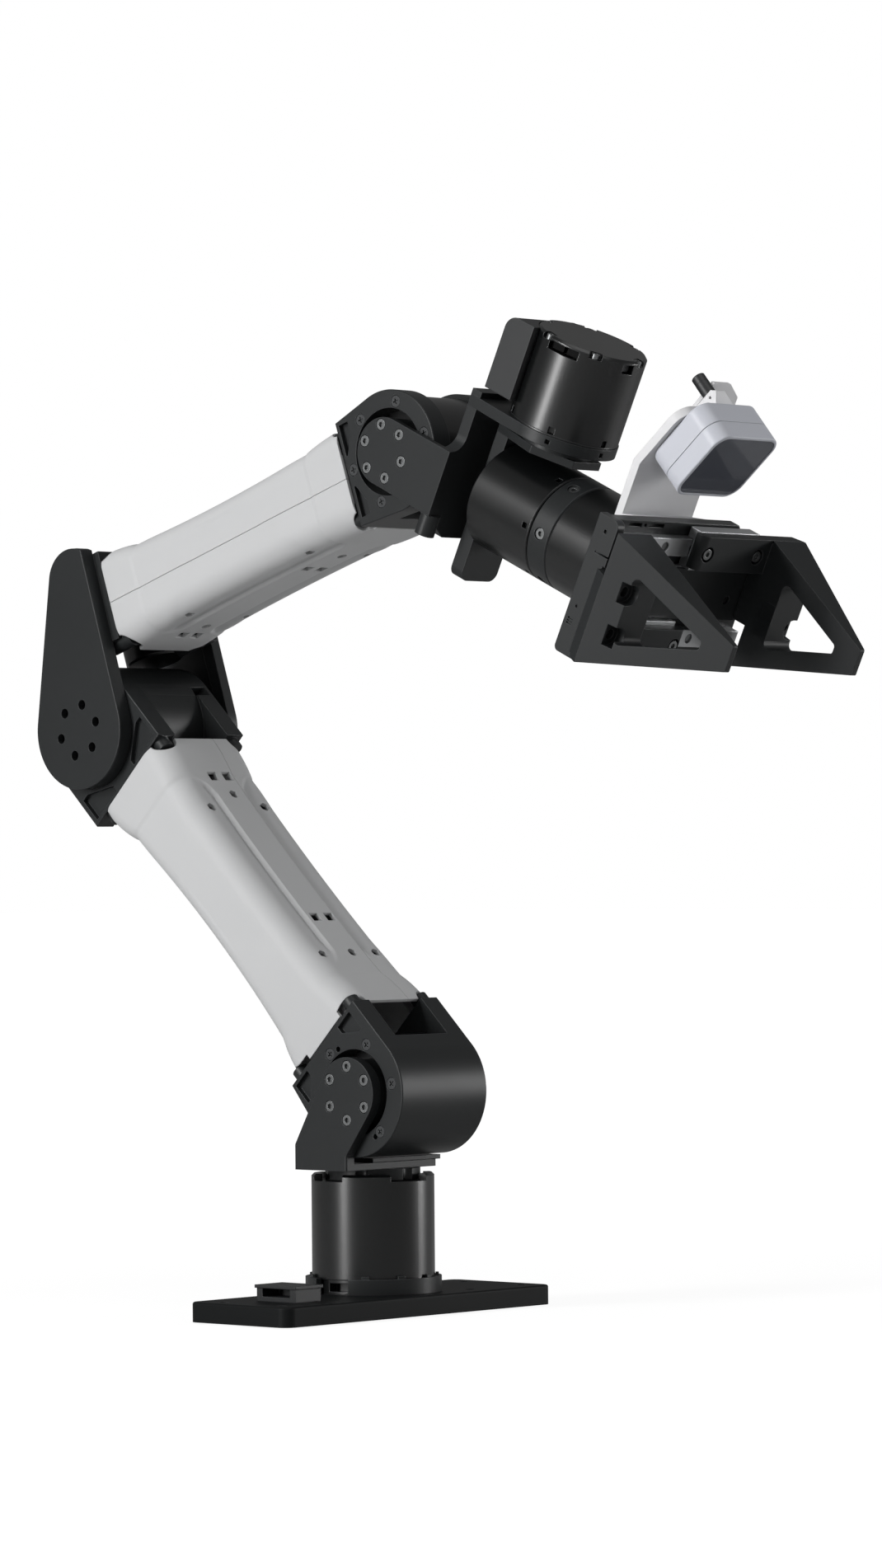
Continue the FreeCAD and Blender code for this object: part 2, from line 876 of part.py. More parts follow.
# Base plate
plate = begin("base_plate", world)
pad(plate, "plate_slab", "XY", 0, S.plate_thick, box(-S.plate_back, S.plate_front, -S.plate_right, S.plate_left))
soften(plate, "plate_corners", "Fillet", S.plate_corner, lambda edge: along(edge, Vector(0, 0, 1)))
post(plate, "plate_lobe", "XY", 0, S.plate_thick, [(0, 0)], S.plate_lobe_radius)
soften(plate, "plate_top_edge", "Fillet", S.plate_edge, lambda edge: near_value(edge.BoundBox.ZMin, S.plate_thick))
bolt_places = [
    (-S.bolt_row_back, -S.bolt_row_right),
    (S.bolt_row_front, -S.bolt_row_right),
    (-S.bolt_row_back, S.bolt_row_left),
    (S.bolt_row_front, S.bolt_row_left),
]
bore(plate, "bolt_holes", "XY", 0, S.plate_thick, bolt_places, S.bolt_hole_radius)
bore(plate, "side_hole", "XY", 0, S.plate_thick, [(S.bolt_row_front, -S.side_hole_y)], S.side_hole_radius)
bore(plate, "cable_hole", "XY", 0, S.plate_thick, [(S.bolt_row_front, S.cable_hole_y)], S.cable_hole_radius)

# Connector box and lid
box_top = S.plate_thick + S.box_height
socket_box = begin("connector_box", world)
pad(socket_box, "box_block", "XY", S.plate_thick, box_top,
    box(-S.box_back, S.box_front, -S.box_right, -S.box_left))
cut(socket_box, "box_slot", "XZ", -S.box_right, -S.box_right + S.box_slot_depth,
    box(S.box_slot_back, S.box_slot_front, S.plate_thick + S.box_slot_floor, box_top))
lid = begin("connector_lid", world)
pad(lid, "lid_sheet", "XY", box_top, box_top + S.lid_thick,
    box(-S.box_back - S.lid_overhang, S.box_front + S.lid_overhang,
        -S.box_right - S.lid_overhang, -S.box_left + S.lid_overhang))

# Collar round the motor's foot, open where the cable port looks out
collar = begin("base_collar", world)
collar_inner = S.base_motor_radius + S.running_gap
collar_top = S.plate_thick + S.collar_height
turn(collar, "collar_ring", "XZ", "V_Axis", box(collar_inner, S.collar_radius, S.plate_thick, collar_top))
tab_reach = S.collar_radius * cosine(S.collar_tab_angle)
tab_side = S.collar_radius * sine(S.collar_tab_angle)
tab_in = collar_inner / S.collar_radius
tab_x = sine(S.collar_tab_angle) * S.collar_tab_width / 2
tab_y = cosine(S.collar_tab_angle) * S.collar_tab_width / 2
tab_shrink = (tab_in + 1) / 2
tab_points = [
    (tab_reach * tab_in + tab_x, tab_side * tab_in - tab_y),
    (tab_reach * tab_shrink + tab_x, tab_side * tab_shrink - tab_y),
    (tab_reach * tab_shrink - tab_x, tab_side * tab_shrink + tab_y),
    (tab_reach * tab_in - tab_x, tab_side * tab_in + tab_y),
]
tab = pad(collar, "collar_tab", "XY", collar_top - S.collar_tab_rise, collar_top + S.collar_tab_rise, tab_points)
doc.recompute()
around(collar, "collar_tabs", tab, "Z_Axis", S.collar_tab_count)
wedge_reach = S.collar_radius * 2
cut(collar, "collar_gap", "XY", S.plate_thick, collar_top + S.collar_tab_rise,
    [(0, 0),
     (wedge_reach * cosine(S.collar_gap_start), wedge_reach * sine(S.collar_gap_start)),
     (wedge_reach * cosine(S.collar_gap_end), wedge_reach * sine(S.collar_gap_end))])

# Base motor with a rim in four raised pieces
base_motor = begin("base_motor_housing", world)
base_motor_top = S.plate_thick + S.base_motor_height
base_rim_top = base_motor_top + S.base_rim_rise
foot_top = S.plate_thick + S.base_foot_height
turn(base_motor, "motor_body", "XZ", "V_Axis", [
    (0, S.plate_thick),
    (S.base_foot_radius, S.plate_thick),
    (S.base_foot_radius, foot_top),
    (S.base_motor_radius, foot_top),
    (S.base_motor_radius, base_rim_top - S.motor_edge),
    (S.base_motor_radius - S.motor_edge, base_rim_top),
    (S.base_rim_inner, base_rim_top),
    (S.base_rim_inner, base_motor_top),
    (0, base_motor_top),
])
rim_cut = cut(base_motor, "rim_gap", "XY", base_motor_top, base_rim_top,
              [(0, 0),
               (wedge_reach * cosine(S.base_rim_gap_start), wedge_reach * sine(S.base_rim_gap_start)),
               (wedge_reach * cosine(S.base_rim_gap_end), wedge_reach * sine(S.base_rim_gap_end))])
doc.recompute()
around(base_motor, "rim_gaps", rim_cut, "Z_Axis", S.base_rim_count)
port_low = S.plate_thick + S.base_port_floor
cut(base_motor, "cable_port", "XY", port_low, port_low + S.base_port_height,
    slot_points(S.base_port_angle, S.base_port_width / 2, S.base_motor_radius - S.base_port_depth, wedge_reach))

# Yaw output hub with notches round its rim
yoke_floor = base_motor_top + S.running_gap + S.yaw_hub_height
yaw_hub = begin("yaw_output_hub", world)
post(yaw_hub, "hub_disc", "XY", base_motor_top + S.running_gap, yoke_floor, [(0, 0)], S.yaw_hub_radius)
bore(yaw_hub, "hub_notches", "XY", base_motor_top + S.running_gap, yoke_floor,
     circle_points(S.screw_count, S.yaw_hub_notch_circle, zero), S.yaw_hub_notch)

# Shoulder yoke: flange on the hub and one ear on the near side
yoke = begin("shoulder_yoke", world)
flange_top = yoke_floor + S.yoke_flange_thick
pad(yoke, "yoke_flange", "XY", yoke_floor, flange_top, [
    (-S.yoke_back, -S.yoke_right),
    (S.yoke_front, -S.yoke_right),
    (S.yoke_front, S.yoke_left - S.yoke_chamfer),
    (S.yoke_front - S.yoke_chamfer, S.yoke_left),
    (-S.yoke_back + S.yoke_chamfer, S.yoke_left),
    (-S.yoke_back, S.yoke_left - S.yoke_chamfer),
])
ear_inner = -S.yoke_right + S.ear_thick
pad(yoke, "yoke_ear", "XZ", -S.yoke_right, ear_inner, [
    (-S.yoke_back, yoke_floor),
    (S.yoke_front, yoke_floor),
    (S.yoke_front, yoke_floor + S.ear_front_rise),
    (S.shoulder_x + S.ear_radius * cosine(S.ear_front_angle),
     S.shoulder_height + S.ear_radius * sine(S.ear_front_angle)),
    (S.shoulder_x, S.shoulder_height),
    (S.shoulder_x + S.ear_radius * cosine(S.ear_back_angle),
     S.shoulder_height + S.ear_radius * sine(S.ear_back_angle)),
    (-S.yoke_back, yoke_floor + S.ear_back_rise),
])
shoulder_centre = [(S.shoulder_x, S.shoulder_height)]
post(yoke, "ear_round", "XZ", -S.yoke_right, ear_inner, shoulder_centre, S.ear_radius)
pad(yoke, "yoke_pad", "XY", flange_top, flange_top + S.yoke_pad_rise,
    box(S.yoke_pad_back, S.yoke_pad_front, S.yoke_pad_right, S.yoke_pad_left))
soften(yoke, "yoke_corner", "Fillet", S.yoke_edge,
       lambda edge: along(edge, Vector(0, 0, 1)) and near_value(edge.CenterOfMass.y, -S.yoke_right))
bore(yoke, "pad_hole", "XZ", S.yoke_pad_right, S.yoke_pad_left,
     [((S.yoke_pad_back + S.yoke_pad_front) / 2, flange_top + S.yoke_pad_rise / 2)], S.yoke_pad_hole / 2)


def shifted(points, across, rise):
    moved = []
    for point in points:
        moved.append((sized(point[0]) + across, sized(point[1]) + rise))
    return moved


ear_screws = shifted(circle_points(S.screw_count, S.hub_screw_circle, quarter), S.shoulder_x, S.shoulder_height)
bore(yoke, "screw_seats", "XZ", -S.yoke_right, -S.yoke_right + S.seat_depth, ear_screws, S.seat_radius)
bore(yoke, "screw_holes", "XZ", -S.yoke_right, ear_inner, ear_screws, S.shank_hole_radius)
screws_on_circle("shoulder_hub_screws", shoulder_axis, -S.yoke_right + (S.seat_depth - S.head_height),
                 S.hub_screw_circle, quarter, hub_screw)


# Hub that a joint motor turns, bolted to the yoke beside it
def output_hub(name, frame, outer, inner, phase):
    hub = begin(name, frame)
    post(hub, name + "_drum", "XZ", outer, inner, [(0, 0)], S.hub_radius)
    bore(hub, name + "_threads", "XZ", outer, inner,
         circle_points(S.screw_count, S.hub_screw_circle, phase), S.shank_hole_radius)
    return hub


shoulder_inner = -S.shoulder_near + S.cheek_thick
output_hub("shoulder_output_hub", shoulder_axis, ear_inner, shoulder_inner, quarter)


# Straight-sided foot that runs off a round drum along two tangents
def foot_outline(radius, end, low, high, low_tangent, high_tangent):
    inside = radius - S.foot_overlap
    return [
        (0, 0),
        (inside * cosine(low_tangent), inside * sine(low_tangent)),
        (end, low),
        (end, high),
        (inside * cosine(high_tangent), inside * sine(high_tangent)),
    ]


# Bracket: two cheeks joined by a barrel round the motor
def barrel_bracket(name, frame, near, far, radius, end, low, high, low_tangent, high_tangent, opening):
    part = begin(name, frame)
    inner_near = -near + S.cheek_thick
    inner_far = far - S.cheek_thick
    post(part, name + "_drum", "XZ", -near, far, [(0, 0)], radius)
    pad(part, name + "_foot", "XZ", -near, far, foot_outline(radius, end, low, high, low_tangent, high_tangent))
    soften(part, name + "_rim", "Fillet", S.bracket_edge,
           lambda edge: near_value(edge.BoundBox.YMax, -near) or near_value(edge.BoundBox.YMin, far))
    cut(part, name + "_opening", "XZ", inner_near, inner_far,
        box(opening, end * 2, -radius * 2, radius * 2))
    bore(part, name + "_hub_hole", "XZ", -near, far, [(0, 0)], S.hub_hole_radius)
    bore(part, name + "_motor_space", "XZ", inner_near, inner_far, [(0, 0)], S.motor_radius + S.running_gap)
    return part


def bracket_screw_seats(part, near, circle, phase):
    places = circle_points(S.screw_count, circle, phase)
    name = part.Label
    bore(part, name + "_seats", "XZ", -near, -near + S.flat_seat_depth, places, S.flat_seat_radius)
    bore(part, name + "_holes", "XZ", -near, -near + S.cheek_thick, places, S.shank_hole_radius)


# Shallow pockets in the two corners of a foot, outside the ring of screws
def corner_pockets(part, near, end, ring, edge, near_angle, far_angle):
    toward = end / sized(abs(end.value))
    outlines = []
    for side in (-1, 1):
        near_x = ring * cosine(near_angle) * toward
        far_x = ring * cosine(far_angle) * toward
        near_z = ring * sine(near_angle) * side
        far_z = ring * sine(far_angle) * side
        outlines.append([(end, near_z), (end, edge * side), (far_x, edge * side), (far_x, far_z), (near_x, near_z)])
    cut_many(part, part.Label + "_pockets", "XZ", -near, -near + S.pocket_depth, outlines)


# Motor can with a back cap that looks out of the far cheek
def joint_motor(name, frame, front, back, cap_end, circle, phase):
    part = begin(name, frame)
    turn(part, name + "_can", "XY", "V_Axis", [
        (0, front),
        (S.motor_radius, front),
        (S.motor_radius, back),
        (S.back_cap_radius, back),
        (S.back_cap_radius, cap_end - S.motor_edge),
        (S.back_cap_radius - S.motor_edge, cap_end),
        (0, cap_end),
    ])
    bore(part, name + "_threads", "XZ", front, front + S.shank_length,
         circle_points(S.screw_count, circle, phase), S.shank_hole_radius)
    return part


shoulder = barrel_bracket("shoulder_bracket", upper_arm, S.shoulder_near, S.shoulder_far, S.shoulder_radius,
                          S.shoulder_end, -S.shoulder_radius + S.foot_overlap, S.shoulder_end_back,
                          S.shoulder_low_tangent, S.shoulder_high_tangent, S.barrel_opening)
bracket_screw_seats(shoulder, S.shoulder_near, S.bracket_screw_circle, S.shoulder_screw_phase)
bore(shoulder, "shoulder_dowels", "XZ", -S.shoulder_near, -S.shoulder_near + S.dowel_depth,
     [(S.dowel_one_x, S.dowel_one_z), (S.dowel_two_x, S.dowel_two_z)], S.dowel_radius)
corner_pockets(shoulder, S.shoulder_near, S.shoulder_end - S.pocket_margin, S.shoulder_pocket_ring,
               S.shoulder_pocket_edge, S.shoulder_pocket_near_angle, S.shoulder_pocket_far_angle)
shoulder_boss_near = shoulder_inner - S.cheek_thick / 2
shoulder_boss_far = S.shoulder_far - S.cheek_thick / 2
post(shoulder, "shoulder_bosses", "YZ", S.shoulder_end, S.shoulder_end + S.boss_length, [
    (shoulder_boss_near, -S.boss_front),
    (shoulder_boss_far, -S.boss_front),
    (shoulder_boss_near, S.boss_back),
    (shoulder_boss_far, S.boss_back),
], S.boss_radius)
screws_on_circle("shoulder_bracket_screws", upper_arm, -S.shoulder_near + (S.flat_seat_depth - S.flat_head_height),
                 S.bracket_screw_circle, S.shoulder_screw_phase, flat_screw)
joint_motor("shoulder_motor_housing", upper_arm, shoulder_inner + S.running_gap,
            S.shoulder_far - S.cheek_thick - S.running_gap, S.shoulder_far - S.motor_edge,
            S.bracket_screw_circle, S.shoulder_screw_phase)


# Tie rods inside the covers
def tie_rods(name, frame, start, finish, low, high):
    solids = []
    for side in (-S.rod_y.value, S.rod_y.value):
        for rise in (low.value, high.value):
            point = Vector(start.value, side, rise)
            length = finish.value - start.value
            solids.append(Part.makeCylinder(S.rod_radius.value, length, point, Vector(1, 0, 0)))
    return group(name, frame, solids)


upper_rod_end = S.upper_arm_length - S.elbow_end
tie_rods("upper_arm_rods", upper_arm, S.shoulder_end, upper_rod_end, -S.upper_rod_front, S.upper_rod_back)


# Hollow cover lofted through rounded sections, each section (place, low, high)
def cover_body(name, frame, half_width, stations, ridge_sides):
    part = begin(name, frame)
    for label, kind, inset in (("skin", "AdditiveLoft", zero), ("hollow", "SubtractiveLoft", S.cover_wall)):
        if label == "hollow":
            for number, side in enumerate(ridge_sides):
                ridge(part, name + "_ridge_" + str(number), stations[1:-1], side)
        sketches = []
        for number, (place, low, high) in enumerate(stations):
            sketch = sketch_on(part, name + "_" + label + "_" + str(number), "YZ", place)
            draw_rounded(sketch, -half_width + inset, half_width - inset, low + inset, high - inset,
                         S.cover_corner - inset)
            sketches.append(sketch)
        loft = part.newObject("PartDesign::" + kind, name + "_" + label)
        loft.Profile = sketches[0]
        loft.Sections = sketches[1:]
        part.Tip = loft
    return part


# Raised line that runs along a cover
def ridge(part, name, stations, side):
    sketches = []
    for number, (place, low, high) in enumerate(stations):
        root = low + S.ridge_root
        crest = low - S.ridge_rise
        sketch = sketch_on(part, name + "_" + str(number), "YZ", place)
        draw(sketch, [
            (side - S.ridge_half_width, root),
            (side + S.ridge_half_width, root),
            (side + S.ridge_half_crest, crest),
            (side - S.ridge_half_crest, crest),
        ])
        sketches.append(sketch)
    loft = part.newObject("PartDesign::AdditiveLoft", name)
    loft.Profile = sketches[0]
    loft.Sections = sketches[1:]
    part.Tip = loft
    return loft


def hexagon(across, side):
    points = []
    for index in range(6):
        angle = sized(60 * index)
        points.append((sized(across) + S.hex_radius * cosine(angle), sized(side) + S.hex_radius * sine(angle)))
    return points


def square(across, side):
    return box(across - S.square_half_length, across + S.square_half_length,
               side - S.square_half_width, side + S.square_half_width)


upper_start = S.shoulder_end + S.cover_end_gap
upper_end = S.upper_arm_length - S.elbow_end - S.cover_end_gap
upper_stations = [
    (upper_start, -S.upper_front_end, S.upper_back_end),
    (upper_start + S.upper_collar_low, -S.upper_front_flare, S.upper_back_flare),
    ((upper_start + upper_end) / 2, -S.upper_front_waist, S.upper_back_waist),
    (upper_end - S.upper_collar_high, -S.upper_front_flare, S.upper_back_flare),
    (upper_end, -S.upper_front_end, S.upper_back_end),
]
upper_hex_a = upper_end - S.upper_hex_a_from_end
upper_hex_c = upper_start + S.upper_hex_c_from_start
upper_square_a = upper_end - S.upper_square_a_from_end
upper_square_b = upper_start + S.upper_square_b_from_start
far_out = S.cover_half_width * 2
long_out = S.upper_arm_length
deep_in = -S.upper_front_waist + S.cover_wall + S.ridge_root
near_cover = cover_body("upper_arm_cover_near", upper_arm, S.cover_half_width, upper_stations, [-S.ridge_y])
cut(near_cover, "near_cover_split", "XZ", S.upper_seam_y, far_out, box(0, long_out, -far_out, far_out))
cut_many(near_cover, "near_cover_holes", "XY", -far_out, deep_in, [
    hexagon(upper_hex_a, -S.hex_side_y),
    hexagon(upper_end - S.upper_hex_b_from_end, S.hex_mid_y),
    hexagon(upper_hex_c, -S.hex_side_y),
    hexagon(upper_hex_c, S.hex_mid_y),
    square(upper_square_a, S.square_near_y),
    square(upper_square_a, S.square_far_y),
    square(upper_square_b, S.square_near_y),
    square(upper_square_b, S.square_far_y),
])
far_cover = cover_body("upper_arm_cover_far", upper_arm, S.cover_half_width, upper_stations, [S.ridge_y])
cut(far_cover, "far_cover_split", "XZ", -far_out, S.upper_seam_y + S.cover_seam_gap,
    box(0, long_out, -far_out, far_out))
cut_many(far_cover, "far_cover_holes", "XY", -far_out, deep_in, [
    hexagon(upper_hex_a, S.hex_side_y),
    hexagon(upper_hex_c, S.hex_side_y),
])
elbow_boss_near = -S.elbow_near + S.cheek_thick / 2
elbow_boss_far = S.elbow_far - S.cheek_thick / 2
for cover, low_side, high_side, label in (
    (near_cover, shoulder_boss_near, elbow_boss_near, "near"),
    (far_cover, shoulder_boss_far, elbow_boss_far, "far"),
):
    corners = [(upper_start, low_side), (upper_end, high_side)]
    bore(cover, label + "_front_notches", "XY", -far_out, -S.upper_rod_front, corners, S.notch_radius)
    bore(cover, label + "_back_notches", "XY", S.upper_rod_back, far_out, corners, S.notch_radius)

# Elbow bracket and motor at the upper end of the upper arm
elbow_bracket = barrel_bracket("elbow_bracket", elbow, S.elbow_near, S.elbow_far, S.elbow_radius,
                               -S.elbow_end, -S.elbow_radius + S.foot_overlap, S.elbow_radius - S.foot_overlap,
                               S.elbow_low_tangent, S.elbow_high_tangent, -S.elbow_opening)
corner_pockets(elbow_bracket, S.elbow_near, -S.elbow_end + S.pocket_margin, S.elbow_pocket_ring,
               S.elbow_pocket_edge, S.elbow_pocket_near_angle, S.elbow_pocket_far_angle)
post(elbow_bracket, "elbow_bosses", "YZ", -S.elbow_end - S.boss_length, -S.elbow_end, [
    (elbow_boss_near, -S.boss_front),
    (elbow_boss_far, -S.boss_front),
    (elbow_boss_near, S.boss_back),
    (elbow_boss_far, S.boss_back),
], S.boss_radius)
elbow_inner = -S.elbow_near + S.cheek_thick
joint_motor("elbow_motor_housing", elbow, elbow_inner + S.running_gap,
            S.elbow_far - S.cheek_thick - S.running_gap, S.elbow_back_cap_end,
            S.bracket_screw_circle, zero)

# Elbow yoke: two cheeks and a cross wall that carries the forearm
output_hub("elbow_output_hub", forearm, -S.elbow_cheek_inner, elbow_inner, zero)
elbow_yoke = begin("elbow_yoke", forearm)
teardrop = [
    (0, 0),
    (S.elbow_yoke_radius, 0),
    (S.elbow_yoke_front, S.elbow_yoke_front_top),
    (S.elbow_yoke_tip_x, S.elbow_yoke_tip_z),
    (S.elbow_yoke_corner_x, S.elbow_yoke_corner_z),
    (S.elbow_yoke_radius * cosine(S.elbow_yoke_tangent), S.elbow_yoke_radius * sine(S.elbow_yoke_tangent)),
]
pad(elbow_yoke, "near_cheek", "XZ", -S.elbow_cheek_near, -S.elbow_cheek_inner, teardrop)
post(elbow_yoke, "near_cheek_round", "XZ", -S.elbow_cheek_near, -S.elbow_cheek_inner, [(0, 0)], S.elbow_yoke_radius)
pad(elbow_yoke, "cross_wall", "XZ", -S.elbow_cheek_inner, S.elbow_far_inner,
    box(S.elbow_wall_back, S.elbow_wall_front, S.elbow_wall_low, S.elbow_wall_high))
pad(elbow_yoke, "far_cheek", "XZ", S.elbow_far_inner, S.elbow_far_outer, teardrop)
post(elbow_yoke, "far_cheek_round", "XZ", S.elbow_far_inner, S.elbow_far_outer, [(0, 0)], S.elbow_yoke_radius)
soften(elbow_yoke, "cheek_corners", "Fillet", S.elbow_yoke_corner,
       lambda edge: along(edge, Vector(0, 1, 0))
       and at_point(edge, S.elbow_yoke_corner_x, S.elbow_yoke_corner_z, "xz"))
soften(elbow_yoke, "cheek_edges", "Fillet", S.bracket_edge,
       lambda edge: near_value(edge.BoundBox.YMax, -S.elbow_cheek_near)
       or near_value(edge.BoundBox.YMin, S.elbow_far_outer))
bore(elbow_yoke, "hub_holes", "XZ", -S.elbow_cheek_near, -S.elbow_cheek_inner,
     circle_points(S.screw_count, S.hub_screw_circle, zero), S.elbow_hole_radius)
cut(elbow_yoke, "far_recess", "XZ", S.elbow_far_inner, S.elbow_far_inner + S.elbow_recess_depth,
    box(S.elbow_recess_back, S.elbow_recess_front, S.elbow_recess_low, S.elbow_recess_high))
forearm_bosses = [
    (-S.forearm_boss_y, S.forearm_boss_low),
    (S.forearm_boss_y, S.forearm_boss_low),
    (-S.forearm_boss_y, S.forearm_boss_high),
    (S.forearm_boss_y, S.forearm_boss_high),
]
post(elbow_yoke, "yoke_bosses", "YZ", S.elbow_wall_back, S.elbow_wall_front + S.boss_length,
     forearm_bosses, S.boss_radius)
screws_on_circle("elbow_hub_screws", forearm, -S.elbow_cheek_near + S.sunk_depth,
                 S.hub_screw_circle, zero, sunk_screw)

# Forearm rods and covers
forearm_rod_end = S.forearm_length - S.wrist_end
tie_rods("forearm_rods", forearm, S.elbow_wall_front, forearm_rod_end, S.forearm_rod_low, S.forearm_rod_high)
forearm_start = S.elbow_wall_front + S.cover_end_gap
forearm_end = forearm_rod_end - S.cover_end_gap
forearm_stations = [
    (forearm_start, S.forearm_low_end, S.forearm_top_end),
    (forearm_start + S.forearm_collar_low, S.forearm_low_flare, S.forearm_top_flare),
    ((forearm_start + forearm_end) / 2, S.forearm_low_waist, S.forearm_top_waist),
    (forearm_end - S.forearm_collar_high, S.forearm_low_flare, S.forearm_top_flare),
    (forearm_end, S.forearm_low_end, S.forearm_top_end),
]
forearm_hex_a = forearm_start + S.forearm_hex_a_from_start
forearm_hex_c = forearm_end - S.forearm_hex_c_from_end
forearm_square_a = forearm_start + S.forearm_square_a_from_start
forearm_square_b = forearm_end - S.forearm_square_b_from_end
top_out = S.forearm_top_end * 2
top_cover = cover_body("forearm_cover_top", forearm, S.forearm_half_width, forearm_stations, [])
cut(top_cover, "top_cover_split", "XY", -far_out, S.forearm_seam + S.cover_seam_gap,
    box(0, long_out, -far_out, far_out))
low_cover = cover_body("forearm_cover_bottom", forearm, S.forearm_half_width, forearm_stations,
                       [-S.ridge_y, S.ridge_y])
cut(low_cover, "low_cover_split", "XY", S.forearm_seam, top_out, box(0, long_out, -far_out, far_out))
cut_many(low_cover, "low_cover_holes", "XY", 0, S.forearm_low_waist + S.cover_wall + S.ridge_root, [
    hexagon(forearm_hex_a, -S.hex_side_y - S.hex_mid_y),
    hexagon(forearm_start + S.forearm_hex_b_from_start, S.hex_mid_y),
    hexagon(forearm_hex_a, S.hex_side_y + S.hex_mid_y),
    hexagon(forearm_hex_c, -S.hex_side_y - S.hex_mid_y),
    hexagon(forearm_hex_c, S.hex_mid_y),
    hexagon(forearm_hex_c, S.hex_side_y + S.hex_mid_y),
    square(forearm_square_a, S.square_near_y),
    square(forearm_square_a, S.square_far_y),
    square(forearm_square_b, S.square_near_y),
    square(forearm_square_b, S.square_far_y),
])
forearm_corners = [
    (forearm_start, -S.forearm_boss_y),
    (forearm_start, S.forearm_boss_y),
    (forearm_end, -S.forearm_boss_y),
    (forearm_end, S.forearm_boss_y),
]
bore(low_cover, "low_notches", "XY", 0, S.forearm_rod_low, forearm_corners, S.notch_radius)
bore(top_cover, "top_notches", "XY", S.forearm_rod_high, top_out, forearm_corners, S.notch_radius)

# Wrist bracket: cheeks joined by two solid corners beside the motor
wrist_bracket = begin("wrist_bracket", wrist_end)
wrist_inner = -S.wrist_side + S.cheek_thick
post(wrist_bracket, "wrist_drum", "XZ", -S.wrist_side, S.wrist_side, [(0, 0)], S.wrist_radius)
pad(wrist_bracket, "wrist_foot", "XZ", -S.wrist_side, S.wrist_side,
    foot_outline(S.wrist_radius, -S.wrist_end, -S.wrist_end_low, S.wrist_end_high,
                 S.wrist_low_tangent, S.wrist_high_tangent))
cut(wrist_bracket, "wrist_flat", "XZ", -S.wrist_side, S.wrist_side,
    box(-S.wrist_radius * 2, -S.wrist_end, -S.wrist_radius * 2, S.wrist_radius * 2))
soften(wrist_bracket, "wrist_rim", "Fillet", S.bracket_edge,
       lambda edge: near_value(edge.BoundBox.YMax, -S.wrist_side) or near_value(edge.BoundBox.YMin, S.wrist_side))
cut(wrist_bracket, "wrist_opening", "XZ", wrist_inner, -wrist_inner,
    box(-S.wrist_solid_to, S.wrist_radius * 2, -S.wrist_radius * 2, S.wrist_radius * 2))
bore(wrist_bracket, "wrist_hub_hole", "XZ", -S.wrist_side, S.wrist_side, [(0, 0)], S.hub_hole_radius)
bore(wrist_bracket, "wrist_motor_space", "XZ", wrist_inner, -wrist_inner, [(0, 0)], S.motor_radius + S.running_gap)
bracket_screw_seats(wrist_bracket, S.wrist_side, S.wrist_screw_circle, zero)
corner_pockets(wrist_bracket, S.wrist_side, -S.wrist_end + S.pocket_margin, S.wrist_pocket_ring,
               S.wrist_pocket_edge, S.wrist_pocket_near_angle, S.wrist_pocket_far_angle)
wrist_boss_rows = [
    (-S.forearm_boss_y, S.forearm_boss_low - S.forearm_rise),
    (S.forearm_boss_y, S.forearm_boss_low - S.forearm_rise),
    (-S.forearm_boss_y, S.forearm_boss_high - S.forearm_rise),
    (S.forearm_boss_y, S.forearm_boss_high - S.forearm_rise),
]
post(wrist_bracket, "wrist_bosses", "YZ", -S.wrist_end - S.boss_length, -S.wrist_end, wrist_boss_rows,
     S.boss_radius)
screws_on_circle("wrist_bracket_screws", wrist_end, -S.wrist_side + (S.flat_seat_depth - S.flat_head_height),
                 S.wrist_screw_circle, zero, flat_screw)
joint_motor("wrist_motor_housing", wrist_end, wrist_inner + S.running_gap, -wrist_inner - S.running_gap,
            S.wrist_side - S.motor_edge, S.wrist_screw_circle, zero)

# Wrist yoke: tongue on the pitch hub, front wall and seat of the yaw motor
output_hub("wrist_output_hub", wrist, -S.tongue_inner, wrist_inner, zero)
wrist_yoke = begin("wrist_yoke", wrist)
pad(wrist_yoke, "front_wall", "YZ", S.wall_back, S.wall_front, [
    (-S.tongue_outer, -S.tongue_half),
    (-S.wall_low_near, -S.wall_low),
    (S.wall_near, -S.wall_low),
    (S.wall_near, S.wall_top),
    (-S.wall_near, S.wall_top),
    (-S.wall_near, S.tongue_half),
    (-S.tongue_outer, S.tongue_half),
])
soften(wrist_yoke, "wall_hollow", "Fillet", S.wall_fillet,
       lambda edge: along(edge, Vector(1, 0, 0)) and at_point(edge, -S.wall_near, S.tongue_half, "yz"))
pad(wrist_yoke, "tongue", "XZ", -S.tongue_outer, -S.tongue_inner,
    box(0, S.wall_back, -S.tongue_half, S.tongue_half))
post(wrist_yoke, "tongue_round", "XZ", -S.tongue_outer, -S.tongue_inner, [(0, 0)], S.tongue_radius)
clamp_points = [
    (S.wall_back, -S.wall_near),
    (S.yaw_axis_reach, -S.clamp_radius),
    (S.yaw_axis_reach, S.clamp_radius),
    (S.wall_back, S.wall_near),
]
pad(wrist_yoke, "clamp_plate", "XY", S.clamp_low, S.clamp_high, clamp_points)
yaw_centre = [(S.yaw_axis_reach, 0)]
post(wrist_yoke, "clamp_round", "XY", S.clamp_low, S.clamp_high, yaw_centre, S.clamp_radius)
bore(wrist_yoke, "clamp_hole", "XY", S.clamp_low, S.clamp_high, yaw_centre, S.clamp_hole_radius)
post(wrist_yoke, "yoke_boss", "XY", -S.wall_low, -S.tongue_half,
     [(S.yoke_boss_x, -S.yoke_boss_y)], S.yoke_boss_radius)
clamp_pockets = []
